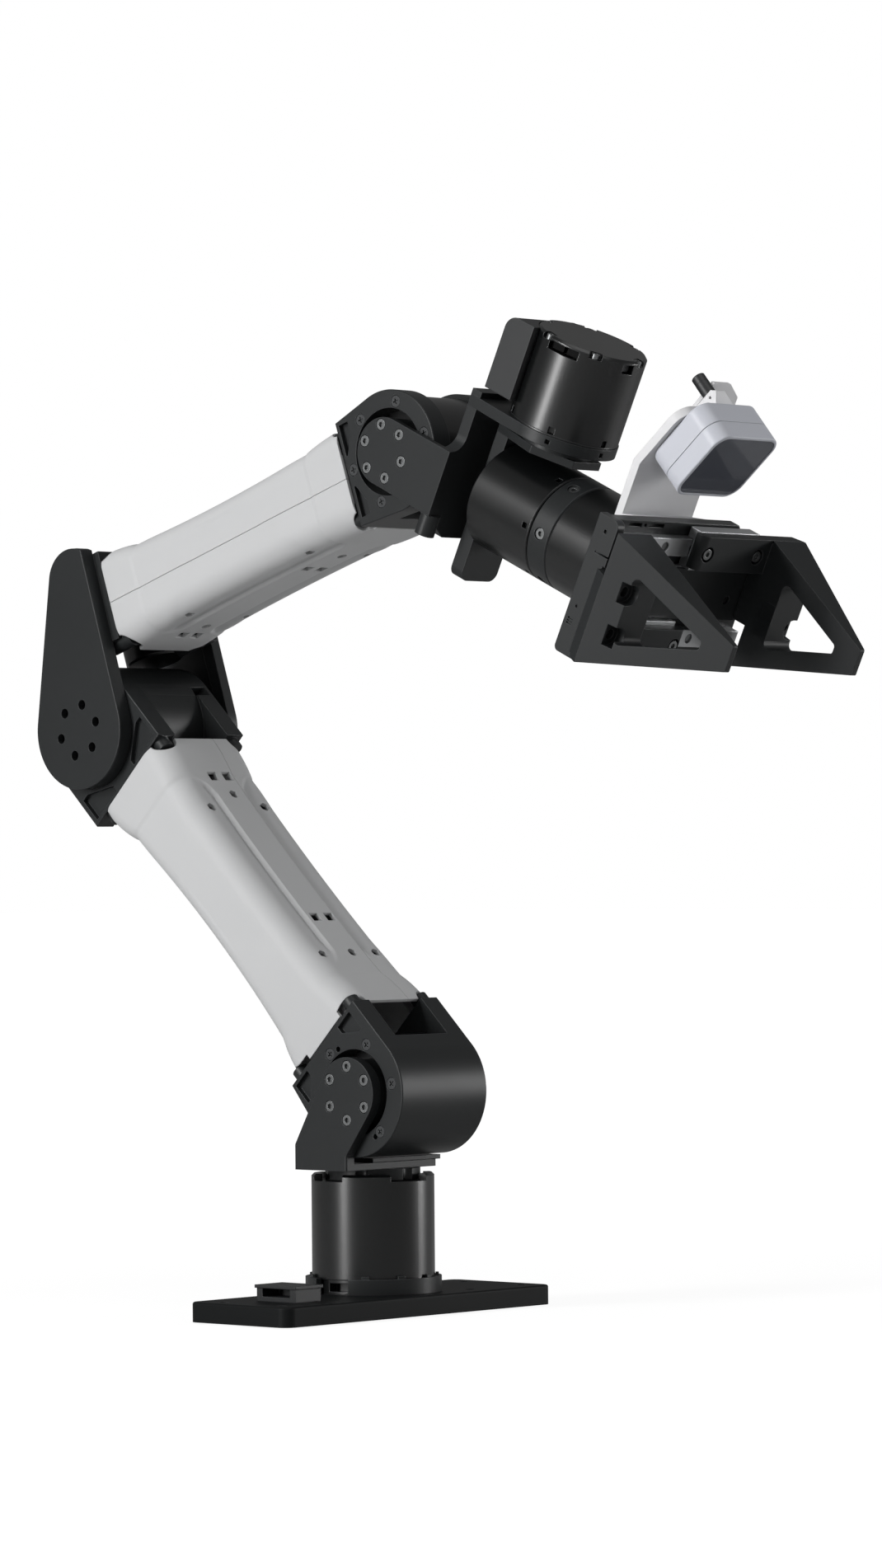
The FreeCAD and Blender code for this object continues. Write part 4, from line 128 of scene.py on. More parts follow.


# One finish: colour, roughness, their wander, a painted highlight along sharp edges and grain height
def finish(name, ownLook):
    look = {**plainLook, **ownLook}
    low = [c * (1 - look["wander"]) for c in look["color"]]
    high = [c * (1 + look["wander"]) for c in look["color"]]
    material = bpy.data.materials.new(name)
    material.use_nodes = True
    tree = material.node_tree
    shader = tree.nodes["Principled BSDF"]
    shader.inputs["Metallic"].default_value = look["metallic"]
    shader.inputs["Specular IOR Level"].default_value = look["specular"]
    grain = addNode(tree, "ShaderNodeGroup", node_tree=fineGrain)
    edge = addNode(tree, "ShaderNodeGroup", {"Width": look["edgeWidth"]}, node_tree=edgeMask)
    shade = addNode(tree, "ShaderNodeMix", {mixFirst: (*low, 1), mixSecond: (*high, 1)}, data_type="RGBA")
    # Painted highlight: sharp edges are mixed towards a lighter colour, as if they caught the light
    paintedEdgeLight = addNode(tree, "ShaderNodeMix", {mixSecond: (*look.get("edgeHighlightColor", high), 1)}, data_type="RGBA")
    highlightShare = addNode(tree, "ShaderNodeMath", {1: look["edgeHighlightAmount"]}, operation="MULTIPLY")
    rough = addNode(tree, "ShaderNodeMapRange", {"To Min": look["roughness"] - look["roughWander"],
                                                 "To Max": look["roughness"] + look["roughWander"]})
    bump = addNode(tree, "ShaderNodeBump", {"Strength": look["grainHeight"], "Distance": look["grainDepth"]})
    wire(
        tree,
        (grain, "Cloud", shade, mixShare), (shade, mixResult, paintedEdgeLight, mixFirst),
        (edge, "Mask", highlightShare, 0), (highlightShare, "Value", paintedEdgeLight, mixShare), (paintedEdgeLight, mixResult, shader, "Base Color"),
        (grain, "Cloud", rough, "Value"), (rough, "Result", shader, "Roughness"),
        (grain, "Grain", bump, "Height"), (edge, "Rounded", bump, "Normal"),
        (bump, "Normal", shader, "Normal"),
    )
    return material


# Each look's edge colour and amount are a painted highlight along its sharp edges
looks = {
    "blackMetal": {"color": (0.0165, 0.018, 0.0187), "roughness": 0.4, "edgeHighlightColor": (0.07, 0.074, 0.077),
                   "edgeHighlightAmount": 0.5, "specular": 0.3},
    "motorBlack": {"color": (0.0026, 0.003, 0.0032), "roughness": 0.29, "edgeHighlightColor": (0.06, 0.064, 0.067),
                   "edgeHighlightAmount": 0.45, "specular": 0.6},
    "plateBlack": {"color": (0.0075, 0.0083, 0.0086), "roughness": 0.5, "edgeHighlightColor": (0.09, 0.094, 0.097),
                   "edgeHighlightAmount": 0.55, "specular": 0.09},
    "fingerBlack": {"color": (0.0135, 0.015, 0.0158), "roughness": 0.5, "edgeHighlightColor": (0.08, 0.084, 0.087),
                    "edgeHighlightAmount": 0.5, "specular": 0.25},
    "coverShell": {"color": (0.53, 0.535, 0.54), "roughness": 0.55, "wander": 0.012, "edgeHighlightAmount": 0.0,
                   "edgeWidth": 0.0008, "specular": 0.3},
    "screwSteel": {"color": (0.2, 0.206, 0.208), "roughness": 0.36, "metallic": 0.85, "edgeHighlightAmount": 0.25,
                   "edgeHighlightColor": (0.4, 0.4, 0.4), "edgeWidth": 0.0003},
    "darkSteel": {"color": (0.03, 0.032, 0.034), "roughness": 0.4, "edgeHighlightColor": (0.1, 0.1, 0.1),
                  "edgeWidth": 0.0003},
    "railSteel": {"color": (0.5, 0.51, 0.52), "roughness": 0.36, "metallic": 0.85, "edgeHighlightAmount": 0.1},
    "rodMetal": {"color": (0.4, 0.4, 0.41), "roughness": 0.4, "metallic": 0.9, "edgeHighlightAmount": 0.1},
    "cameraCase": {"color": (0.56, 0.575, 0.63), "roughness": 0.42, "wander": 0.02, "edgeHighlightAmount": 0.15,
                   "edgeHighlightColor": (0.75, 0.77, 0.82)},
    "cameraWindow": {"color": (0.085, 0.09, 0.108), "roughness": 0.08, "edgeHighlightAmount": 0.0, "roughWander": 0.01,
                     "grainHeight": 0.0},
    "palePlastic": {"color": (0.72, 0.72, 0.73), "roughness": 0.5, "wander": 0.02, "edgeHighlightAmount": 0.1},
    # Sockets: black connectors, made darker still as painted shade of the window recesses
    "socketBlackAndShade": {"color": (0.0012, 0.0013, 0.0014), "roughness": 0.6, "edgeHighlightColor": (0.012, 0.012, 0.013),
                   "specular": 0.08, "edgeWidth": 0.0003},
    "blackPlastic": {"color": (0.01, 0.011, 0.012), "roughness": 0.45, "edgeHighlightColor": (0.05, 0.053, 0.056)},
}
finishes = {name: finish(name, look) for name, look in looks.items()}
slotFinish = {
    "black_metal": "blackMetal", "cover_shell": "coverShell", "screw_steel": "screwSteel",
    "dark_steel": "darkSteel", "rail_steel": "railSteel", "rod_metal": "rodMetal",
    "camera_case": "cameraCase", "camera_window": "cameraWindow", "pale_plastic": "palePlastic",
    "black_plastic": "blackPlastic",
}
slotOf = {part["node"]: part["material_slot"] for part in frame["record"]["subparts"]}
for name, node in frame["nodes"].items():
    label = slotFinish[slotOf[name]]
    if "motor" in name and label == "blackMetal":
        label = "motorBlack"
    if "finger" in name and label == "blackMetal":
        label = "fingerBlack"
    if name == "base_plate":
        label = "plateBlack"
    for index in range(len(node.data.materials)):
        node.data.materials[index] = finishes[label]
print("materials done")

# Joint frames in millimetres: X along the piece, Y across the arm, Z square to both
lean = {"upperArm": 135.7, "forearm": 18.4, "wrist": -25.5}
jointPlace = {joint["name"]: Vector(joint["pos_m"]) for joint in frame["record"]["behaviour"]["joints"]
              if "pos_m" in joint}


def jointFrame(joint, degrees):
    turn = math.radians(degrees)
    spot = jointPlace[joint]
    return Matrix((
        (math.cos(turn), 0, -math.sin(turn), spot.x),
        (0, 1, 0, spot.y),
        (math.sin(turn), 0, math.cos(turn), spot.z),
        (0, 0, 0, 1),
    )) @ Matrix.Scale(millimetre, 4)


upperFrame = jointFrame("shoulder_swing", lean["upperArm"])
drumFrame = jointFrame("elbow_swing", lean["upperArm"])
forearmFrame = jointFrame("elbow_swing", lean["forearm"])
yawFrame = jointFrame("wrist_turn", lean["wrist"])
rollFrame = jointFrame("gripper_roll", lean["wrist"])

# Changes of axes for prisms along a frame's X and along its Y
alongX = Matrix(((0, 0, 1, 0), (1, 0, 0, 0), (0, 1, 0, 0), (0, 0, 0, 1)))
alongY = Matrix(((1, 0, 0, 0), (0, 0, 1, 0), (0, 1, 0, 0), (0, 0, 0, 1)))


def meshFrom(name, points, faces, placed):
    mesh = bpy.data.meshes.new(name)
    mesh.from_pydata([placed @ Vector(point) for point in points], [], faces)
    work = bmesh.new()
    work.from_mesh(mesh)
    bmesh.ops.recalc_face_normals(work, faces=work.faces)
    work.to_mesh(mesh)
    work.free()
    return mesh


def objectFrom(name, mesh):
    item = bpy.data.objects.new(name, mesh)
    scene.collection.objects.link(item)
    return item


# Gives a finished piece its material and its body
def settle(item, body, label):
    item.data.materials.clear()
    item.data.materials.append(finishes[label])
    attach(item, body)


# Bakes an object's modifiers into a plain mesh
def bake(item):
    graph = bpy.context.evaluated_depsgraph_get()
    plain = bpy.data.meshes.new_from_object(item.evaluated_get(graph))
    item.modifiers.clear()
    item.data = plain


# Smooth shading, with edges kept sharp above an angle
def smooth(item, degrees):
    item.data.shade_smooth()
    item.data.set_sharp_from_angle(angle=math.radians(degrees))


def smoothStep(value):
    part = min(1.0, max(0.0, value))
    return part * part * (3 - 2 * part)


# Closed prism along a frame's Z, as points and faces
def prism(outline, low, high):
    count = len(outline)
    points = [(x, y, low) for x, y in outline] + [(x, y, high) for x, y in outline]
    faces = [tuple(range(count)), tuple(range(count, 2 * count))]
    for index in range(count):
        after = (index + 1) % count
        faces.append((index, after, count + after, count + index))
    return points, faces


def prismFrom(name, outline, low, high, placed):
    points, faces = prism(outline, low, high)
    return objectFrom(name, meshFrom(name, points, faces, placed))


def roundOutline(x, y, radius, count):
    return [(x + radius * math.cos(2 * math.pi * i / count), y + radius * math.sin(2 * math.pi * i / count))
            for i in range(count)]


def boxOutline(x, y, halfX, halfY):
    return [(x - halfX, y - halfY), (x + halfX, y - halfY), (x + halfX, y + halfY), (x - halfX, y + halfY)]


# Box from one radius to another, turned about the origin
def turnedBox(turn, near, far, start, stop):
    corners = [(near, start), (far, start), (far, stop), (near, stop)]
    return [(a * math.cos(turn) - b * math.sin(turn), a * math.sin(turn) + b * math.cos(turn))
            for a, b in corners]


# Adds prisms to an object or cuts them from it, in order
def carve(item, changes, solver):
    tools = []
    for number, (operation, placed, outline, low, high) in enumerate(changes):
        tool = prismFrom(item.name + "Tool" + str(number), outline, low, high, placed)
        step = item.modifiers.new("step" + str(number), "BOOLEAN")
        step.operation = operation
        step.solver = solver
        step.object = tool
        tools.append(tool)
    bake(item)
    for tool in tools:
        bpy.data.objects.remove(tool, do_unlink=True)


# Arm covers: a rounded section with end collars, a slim waist and a sunk side panel behind a ridge
coverForm = {"wall": 2.0, "frontCorner": 13.0, "backCorner": 9.0, "seamGap": 0.2, "step": 0.9, "ridge": 10.0,
             "ridgeDepth": 2.3, "lineDepth": 0.55, "rise": 1.9, "decay": 9.0, "rest": 0.2, "fadeFloor": 0.08,
             "sideRun": 30.0, "sharp": 35}
hole = {"hex": 2.8, "hexCorners": 6, "squareX": 2.8, "squareY": 3.0, "notch": 6.2, "notchCorners": 32,
        "hexSide": 19.5, "hexMid": 1.5, "squares": (-4.7, 5.6), "reach": 8.0}
upperArm = {
    "frame": upperFrame, "body": "upper_arm", "half": 32.0, "start": 33.8, "end": 225.2,
    "collarLow": 22.2, "collarHigh": 23.2, "low": (-31.0, -27.4, -25.6), "high": (25.0, 20.0, 16.5),
    "panelLow": 60.0, "panelHigh": 203.0, "fadeLow": 62.0, "fadeLength": 22.0, "panelCorner": 17.0,
    "seam": 10.0, "notchFront": -20.0, "notchBack": 10.0,
    "startNotch": {"near": -26.5, "far": 24.0}, "endNotch": {"near": -24.0, "far": 26.7},
    "startHex": 38.2, "endHex": 45.2, "endMidHex": 37.2, "startSquare": 64.7, "endSquare": 24.5,
}
forearm = {
    "frame": forearmFrame, "body": "forearm", "half": 31.5, "start": 36.8, "end": 214.7,
    "collarLow": 21.2, "collarHigh": 24.7, "low": (31.5, 33.0, 34.0), "high": (84.5, 82.0, 80.0),
    "panelLow": 57.0, "panelHigh": 190.5, "fadeLow": 30.0, "fadeLength": 8.0, "panelCorner": 10.0,
    "seam": 57.0, "notchFront": 44.0, "notchBack": 70.0, "notchSide": 24.0,
    "startHex": 43.2, "startMidHex": 31.2, "endHex": 44.2, "startSquare": 19.2, "endSquare": 63.7,
}


# Edge height of the section at a place along the arm
def edgeAt(arm, key, place):
    end, flare, waist = arm[key]
    lowEnd = arm["start"] + arm["collarLow"]
    highEnd = arm["end"] - arm["collarHigh"]
    if place < lowEnd:
        share = (place - arm["start"]) / arm["collarLow"]
        return flare + (end - flare) * (1 - share * share)
    if place > highEnd:
        share = (arm["end"] - place) / arm["collarHigh"]
        return flare + (end - flare) * (1 - share * share)
    share = (2 * place - lowEnd - highEnd) / (highEnd - lowEnd)
    return waist + (flare - waist) * share * share


# How far the side panel sinks at a place and at a distance from the front centre line
def panelSink(arm, place, around):
    form = coverForm
    alongGap = min(place - arm["panelLow"], arm["panelHigh"] - place)
    sideGap = around - form["ridge"]
    inAlong = arm["panelCorner"] - alongGap
    inSide = arm["panelCorner"] - sideGap
    gap = min(alongGap, sideGap)
    if inAlong > 0 and inSide > 0:
        gap = arm["panelCorner"] - math.hypot(inAlong, inSide)
    if gap <= 0:
        return 0.0
    ridgeShare = smoothStep(0.5 + (alongGap - sideGap) / arm["panelCorner"])
    depth = form["lineDepth"] + (form["ridgeDepth"] - form["lineDepth"]) * ridgeShare
    faded = smoothStep((place - arm["fadeLow"]) / arm["fadeLength"])
    fade = form["fadeFloor"] + (1 - form["fadeFloor"]) * faded
    swell = form["rest"] + (1 - form["rest"]) * math.exp(-(gap / form["decay"]) ** 2)
    return depth * fade * smoothStep(gap / form["rise"]) * swell


def quarterArc(radius):
    return radius * math.pi / 2


# Point, outward direction and distance from the front centre line, for one column of the section
def sectionPoint(arm, place, column):
    kind, side, value = column
    radius = coverForm["frontCorner"]
    flat = arm["half"] - radius
    backRadius = coverForm["backCorner"]
    low = edgeAt(arm, "low", place)
    high = edgeAt(arm, "high", place)
    if kind == "front":
        return (side * value, low), (0, -1), abs(value)
    if kind == "back":
        return (side * value, high), (0, 1), arm["end"]
    if kind in ("side", "lowerSide", "upperSide"):
        bottom = arm["seam"] + coverForm["seamGap"] if kind == "upperSide" else low + radius
        top = arm["seam"] if kind == "lowerSide" else high - backRadius
        across = bottom + (top - bottom) * value
        return (side * arm["half"], across), (side, 0), flat + quarterArc(radius) + across - low - radius
    turn = math.pi / 2 * value
    if kind == "frontArc":
        y = side * (flat + radius * math.sin(turn))
        lift = radius * (1 - math.cos(turn))
        return (y, low + lift), (side * math.sin(turn), -math.cos(turn)), flat + radius * turn
    y = side * (arm["half"] - backRadius + backRadius * math.sin(turn))
    lift = backRadius * (1 - math.cos(turn))
    return (y, high - lift), (side * math.sin(turn), math.cos(turn)), arm["end"]


def columnRun(kind, side, start, stop, length):
    count = max(2, round(length / coverForm["step"]))
    return [(kind, side, start + (stop - start) * index / count) for index in range(count + 1)]


# Sheet with an outer and an inner face, closed at its rims, with its holes cut
def coverShell(name, arm, columns, cutters, replaced):
    rows = round((arm["end"] - arm["start"]) / coverForm["step"])
    wide = len(columns)
    outer = []
    inner = []
    for row in range(rows + 1):
        place = arm["start"] + (arm["end"] - arm["start"]) * row / rows
        for column in columns:
            (y, z), (outY, outZ), around = sectionPoint(arm, place, column)
            sink = panelSink(arm, place, around)
            outer.append((place, y - outY * sink, z - outZ * sink))
            under = sink + coverForm["wall"]
            inner.append((place, y - outY * under, z - outZ * under))
    total = len(outer)
    faces = []
    for row in range(rows):
        for index in range(wide - 1):
            a = row * wide + index
            faces.append((a, a + 1, a + wide + 1, a + wide))
            faces.append((total + a, total + a + wide, total + a + wide + 1, total + a + 1))
    for index in range(wide - 1):
        last = rows * wide + index
        faces.append((index, total + index, total + index + 1, index + 1))
        faces.append((last, last + 1, total + last + 1, total + last))
    for row in range(rows):
        a = row * wide
        b = a + wide - 1
        faces.append((a, a + wide, total + a + wide, total + a))
        faces.append((b, total + b, total + b + wide, b + wide))
    cover = objectFrom(name, meshFrom(name, outer + inner, faces, arm["frame"]))
    carve(cover, [("DIFFERENCE", arm["frame"], *cutter) for cutter in cutters], "MANIFOLD")
    smooth(cover, coverForm["sharp"])
    settle(cover, arm["body"], "coverShell")
    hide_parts(replaced)


# Holes through the front wall, each kind at its place along and across
def frontHoles(arm, hexes, squares):
    floor = max(arm["low"]) + hole["reach"]
    roof = min(arm["low"]) - hole["reach"]
    cutters = [(roundOutline(x, y, hole["hex"], hole["hexCorners"]), roof, floor) for x, y in hexes]
    cutters += [(boxOutline(x, y, hole["squareX"], hole["squareY"]), roof, floor) for x, y in squares]
    return cutters


# Round bites out of a cover's corners, at its front and at its back
def cornerNotches(places, low, high):
    return [(roundOutline(x, y, hole["notch"], hole["notchCorners"]), low, high) for x, y in places]


def frontNotches(arm, places):
    return cornerNotches(places, min(arm["low"]) - hole["reach"], arm["notchFront"])


def backNotches(arm, places):
    return cornerNotches(places, arm["notchBack"], max(arm["high"]) + hole["reach"])


# Upper arm: a near and a far half that meet at a seam beside the centre line
startHex = upperArm["start"] + upperArm["startHex"]
endHex = upperArm["end"] - upperArm["endHex"]
squareRows = (upperArm["end"] - upperArm["endSquare"], upperArm["start"] + upperArm["startSquare"])
upperHoles = {
    "near": frontHoles(
        upperArm,
        [(endHex, -hole["hexSide"]), (upperArm["end"] - upperArm["endMidHex"], hole["hexMid"]),
         (startHex, -hole["hexSide"]), (startHex, hole["hexMid"])],
        [(place, y) for place in squareRows for y in hole["squares"]]),
    "far": frontHoles(upperArm, [(endHex, hole["hexSide"]), (startHex, hole["hexSide"])], []),
}
frontFlat = upperArm["half"] - coverForm["frontCorner"]
backFlat = upperArm["half"] - coverForm["backCorner"]
for label, side, start in (
    ("near", -1, -upperArm["seam"]),
    ("far", 1, upperArm["seam"] + coverForm["seamGap"]),
):
    columns = columnRun("front", side, start, frontFlat, frontFlat - start)
    columns += columnRun("frontArc", side, 0, 1, quarterArc(coverForm["frontCorner"]))[1:]
    columns += columnRun("side", side, 0, 1, coverForm["sideRun"])[1:]
    columns += columnRun("backArc", side, 1, 0, quarterArc(coverForm["backCorner"]))[1:]
    columns += columnRun("back", side, backFlat, start, backFlat - start)[1:]
    notches = [(upperArm[key], upperArm[key + "Notch"][label]) for key in ("start", "end")]
    cutters = upperHoles[label] + frontNotches(upperArm, notches) + backNotches(upperArm, notches)
    coverShell("upperCover" + label.title(), upperArm, columns, cutters, "upper_arm_cover_" + label)

# Forearm: a bottom and a top half that meet at its sides
startHex = forearm["start"] + forearm["startHex"]
endHex = forearm["end"] - forearm["endHex"]
squareRows = (forearm["start"] + forearm["startSquare"], forearm["end"] - forearm["endSquare"])
hexSide = hole["hexSide"] + hole["hexMid"]
lowHoles = frontHoles(
    forearm,
    [(startHex, -hexSide), (forearm["start"] + forearm["startMidHex"], hole["hexMid"]), (startHex, hexSide),
     (endHex, -hexSide), (endHex, hole["hexMid"]), (endHex, hexSide)],
    [(place, y) for place in squareRows for y in hole["squares"]])
notches = [(forearm[key], side * forearm["notchSide"]) for key in ("start", "end") for side in (-1, 1)]
lowCutters = lowHoles + frontNotches(forearm, notches)
topCutters = backNotches(forearm, notches)
for label, flatKind, arcKind, sideKind, corner, cutters in (
    ("bottom", "front", "frontArc", "lowerSide", coverForm["frontCorner"], lowCutters),
    ("top", "back", "backArc", "upperSide", coverForm["backCorner"], topCutters),
):
    flat = forearm["half"] - corner
    rim = 1 if label == "bottom" else 0
    columns = columnRun(sideKind, -1, rim, 1 - rim, coverForm["sideRun"] / 2)
    columns += columnRun(arcKind, -1, 1, 0, quarterArc(corner))[1:]
    columns += columnRun(flatKind, -1, flat, 0, flat)[1:]
    columns += columnRun(flatKind, 1, 0, flat, flat)[1:]
    columns += columnRun(arcKind, 1, 0, 1, quarterArc(corner))[1:]
    columns += columnRun(sideKind, 1, 1 - rim, rim, coverForm["sideRun"] / 2)[1:]
    coverShell("forearmCover" + label.title(), forearm, columns, cutters, "forearm_cover_" + label)
print("covers done")

# Round column inside the elbow yoke, standing on its cross wall above the joint
columnForm = {"x": 10.0, "y": 20.0, "radius": 15.5, "low": 35.0, "high": 84.0, "edge": 1.0, "count": 72,
              "sharp": 30}


def columnMesh(form, placed):
    rings = [(form["radius"] - form["edge"], form["low"]), (form["radius"], form["low"] + form["edge"]),
             (form["radius"], form["high"] - form["edge"]), (form["radius"] - form["edge"], form["high"])]
    count = form["count"]
    points = []
    for radius, height in rings:
        points += [(x, y, height) for x, y in roundOutline(form["x"], form["y"], radius, count)]
    faces = [tuple(range(count)), tuple(range(3 * count, 4 * count))]
    for ring in range(3):
        for index in range(count):
            after = (index + 1) % count
            low = ring * count
            faces.append((low + index, low + after, low + count + after, low + count + index))
    return meshFrom("yokeColumn", points, faces, placed)


yokeColumn = objectFrom("yokeColumn", columnMesh(columnForm, forearmFrame))
smooth(yokeColumn, columnForm["sharp"])
settle(yokeColumn, "forearm", "motorBlack")
print("column done")

# Low pad on the shoulder yoke's plate, under the drum
padForm = {"x": 2.0, "y": 7.5, "halfX": 14.5, "halfY": 25.0, "low": 75.9, "high": 78.2}
padOutline = boxOutline(padForm["x"], padForm["y"], padForm["halfX"], padForm["halfY"])
yokePad = prismFrom("yokePad", padOutline, padForm["low"], padForm["high"], Matrix.Scale(millimetre, 4))
settle(yokePad, "shoulder_yaw", "blackMetal")
print("pad done")

# Copies of a node's mesh: merged, changed by prisms, with edges rounded or kept sharp
reworkForm = {"merge": 1e-6, "flat": 0.5, "segments": 3, "roundAbove": 35, "sharp": 28, "weight": 100}


def rework(name, nodeName, changes, body, label, rounding=0.0):
    mesh = frame["nodes"][nodeName].data.copy()
    work = bmesh.new()
    work.from_mesh(mesh)
    bmesh.ops.remove_doubles(work, verts=work.verts, dist=reworkForm["merge"])
    bmesh.ops.dissolve_limit(work, angle_limit=math.radians(reworkForm["flat"]), verts=work.verts,
                             edges=work.edges)
    work.to_mesh(mesh)
    work.free()
    item = objectFrom(name, mesh)
    carve(item, changes, "EXACT")
    if rounding:
        soft = item.modifiers.new("soft", "BEVEL")
        soft.width = rounding * millimetre
        soft.segments = reworkForm["segments"]
        soft.limit_method = "ANGLE"
        soft.angle_limit = math.radians(reworkForm["roundAbove"])
        item.data.shade_smooth()
    else:
        smooth(item, reworkForm["sharp"])
    even = item.modifiers.new("even", "WEIGHTED_NORMAL")
    even.weight = reworkForm["weight"]
    even.keep_sharp = not rounding
    bake(item)
    settle(item, body, label)
    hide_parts(nodeName)


# Fingers: round-ended screw pockets in the root wall of the blade's window
fingerForm = {"root": 190.5, "wall": 202.0, "inner": 46.0, "outer": 70.0, "base": 187.5, "slope": 20.8 / 71.0,
              "oldLow": 4.4, "oldHigh": 14.6, "back": 197.3, "radius": 5.2, "middle": 63.4, "steps": 20,
              "places": (-7.4, 14.4), "bore": 2.6, "boreEnd": 194.0, "boreCorners": 32, "over": 3.0,
              "clear": 1.0, "rounding": 0.8}
halfTurn = Matrix(((1, 0, 0, 0), (0, -1, 0, 0), (0, 0, -1, 0), (0, 0, 0, 1)))


def blade(form, place):
    return form["outer"] - (place - form["base"]) * form["slope"]


def pocketOutline(form, across):
    turns = [math.pi * i / form["steps"] for i in range(form["steps"] + 1)]
    arc = [(form["middle"] - form["radius"] * math.sin(t), across - form["radius"] * math.cos(t))
           for t in turns]
    mouth = form["outer"] + form["over"]
    return arc + [(mouth, across + form["radius"]), (mouth, across - form["radius"])]


def fingerChanges(form, placed):
    filling = [(form["root"], form["inner"]), (form["wall"], form["inner"]),
               (form["wall"], blade(form, form["wall"])), (form["root"], blade(form, form["root"]))]
    changes = [("UNION", placed, filling, form["oldLow"], form["oldHigh"]),
               ("UNION", placed, filling, -form["oldHigh"], -form["oldLow"])]
    sunk = placed @ alongX
    front = form["wall"] + form["clear"]
    for across in form["places"]:
        bore = roundOutline(form["middle"], across, form["bore"], form["boreCorners"])
        changes.append(("DIFFERENCE", sunk, pocketOutline(form, across), form["back"], front))
        changes.append(("DIFFERENCE", sunk, bore, form["boreEnd"], front))
    return changes


rework("farFingerBlade", "far_finger", fingerChanges(fingerForm, rollFrame), "far_jaw",
       "fingerBlack", fingerForm["rounding"])
rework("nearFingerBlade", "near_finger", fingerChanges(fingerForm, rollFrame @ halfTurn), "near_jaw",
       "fingerBlack", fingerForm["rounding"])
print("fingers done")

# Elbow drum: closed between its cheeks, with one small window near the far cheek
drumForm = {"low": -18.1, "high": 20.8, "outer": 32.95, "inner": 29.4, "beyond": 52.0, "start": 96.0,
            "stop": 264.0, "trimStart": 90.0, "trimStop": 270.0, "trimGap": 0.1, "count": 80}
windowForm = {"turn": 262.3, "near": 27.0, "far": 36.0, "half": 2.9, "low": 20.0, "high": 30.0}


def arcBand(start, stop, outer, inner, count):
    turns = [math.radians(start + (stop - start) * i / count) for i in range(count + 1)]
    outline = [(outer * math.cos(t), outer * math.sin(t)) for t in turns]
    return outline + [(inner * math.cos(t), inner * math.sin(t)) for t in reversed(turns)]


drumTrim = arcBand(drumForm["trimStart"], drumForm["trimStop"], drumForm["beyond"], drumForm["outer"],
                   drumForm["count"])
drumWall = arcBand(drumForm["start"], drumForm["stop"], drumForm["outer"], drumForm["inner"],
                   drumForm["count"])
drumWindow = turnedBox(math.radians(windowForm["turn"]), windowForm["near"], windowForm["far"],
                       -windowForm["half"], windowForm["half"])
drumAcross = drumFrame @ alongY
rework("elbowDrum", "elbow_bracket", [
    ("DIFFERENCE", drumAcross, drumTrim, drumForm["low"] + drumForm["trimGap"],
     drumForm["high"] - drumForm["trimGap"]),
    ("UNION", drumAcross, drumWall, drumForm["low"], drumForm["high"]),
    ("DIFFERENCE", drumAcross, drumWindow, windowForm["low"], windowForm["high"]),
], "upper_arm", "blackMetal")
print("drum done")

# Gripper frame: a rounded foot on its near end, a groove, a dot and three short grooves on its face
footForm = {"back": 166.5, "front": 178.5, "top": -28.0, "low": -35.3, "round": 2.6, "steps": 8,
            "inner": -57.0, "face": -62.0}
markForm = {"depth": 0.9, "clear": 1.0, "line": 0.4, "grooveX": 175.6, "grooveZ": 17.2, "grooveHalf": 4.6,
            "dotX": 171.4, "dotZ": -11.1, "dot": 0.75, "dotCorners": 24,
            "ribX": 170.3, "ribZ": -19.1, "ribHalf": 1.7, "pitch": 1.3, "ribs": (-1, 0, 1)}


def footOutline(form):
    outline = [(form["front"], form["top"]), (form["back"], form["top"])]
    for step in range(form["steps"] + 1):
        t = math.pi * (1 + step / (2 * form["steps"]))
        outline.append((form["back"] + form["round"] * (1 + math.cos(t)),
                        form["low"] + form["round"] * (1 + math.sin(t))))
    return outline + [(form["front"], form["low"])]


def markOutlines(form):
    outlines = [boxOutline(form["grooveX"], form["grooveZ"], form["grooveHalf"], form["line"]),
                roundOutline(form["dotX"], form["dotZ"], form["dot"], form["dotCorners"])]
    for step in form["ribs"]:
        outlines.append(boxOutline(form["ribX"], form["ribZ"] + form["pitch"] * step, form["ribHalf"],
                                   form["line"]))
    return outlines


frameAcross = rollFrame @ alongY
frameChanges = [("UNION", frameAcross, footOutline(footForm), footForm["face"], footForm["inner"])]
for outline in markOutlines(markForm):
    frameChanges.append(("DIFFERENCE", frameAcross, outline, footForm["face"] - markForm["clear"],
                         footForm["face"] + markForm["depth"]))
rework("gripperFrameMarked", "gripper_frame", frameChanges, "gripper", "blackMetal")
print("frame marks done")

# Roll motor: six small square notches near its front rim, in line with the ring's screws
notchForm = {"count": 6, "low": 94.9, "high": 97.9, "half": 1.45, "floor": 25.2, "beyond": 30.0}
notchChanges = []
for index in range(notchForm["count"]):
    outline = turnedBox(2 * math.pi * index / notchForm["count"], notchForm["floor"], notchForm["beyond"],
                        -notchForm["half"], notchForm["half"])
    notchChanges.append(("DIFFERENCE", rollFrame @ alongX, outline, notchForm["low"], notchForm["high"]))
rework("rollMotorNotched", "roll_motor_housing", notchChanges, "wrist_yaw", "motorBlack")
print("notches done")

# Geometry Nodes ring of socket screws round a frame's Z
screwForm = {"headCorners": 40, "socketCorners": 6, "sharp": 30}


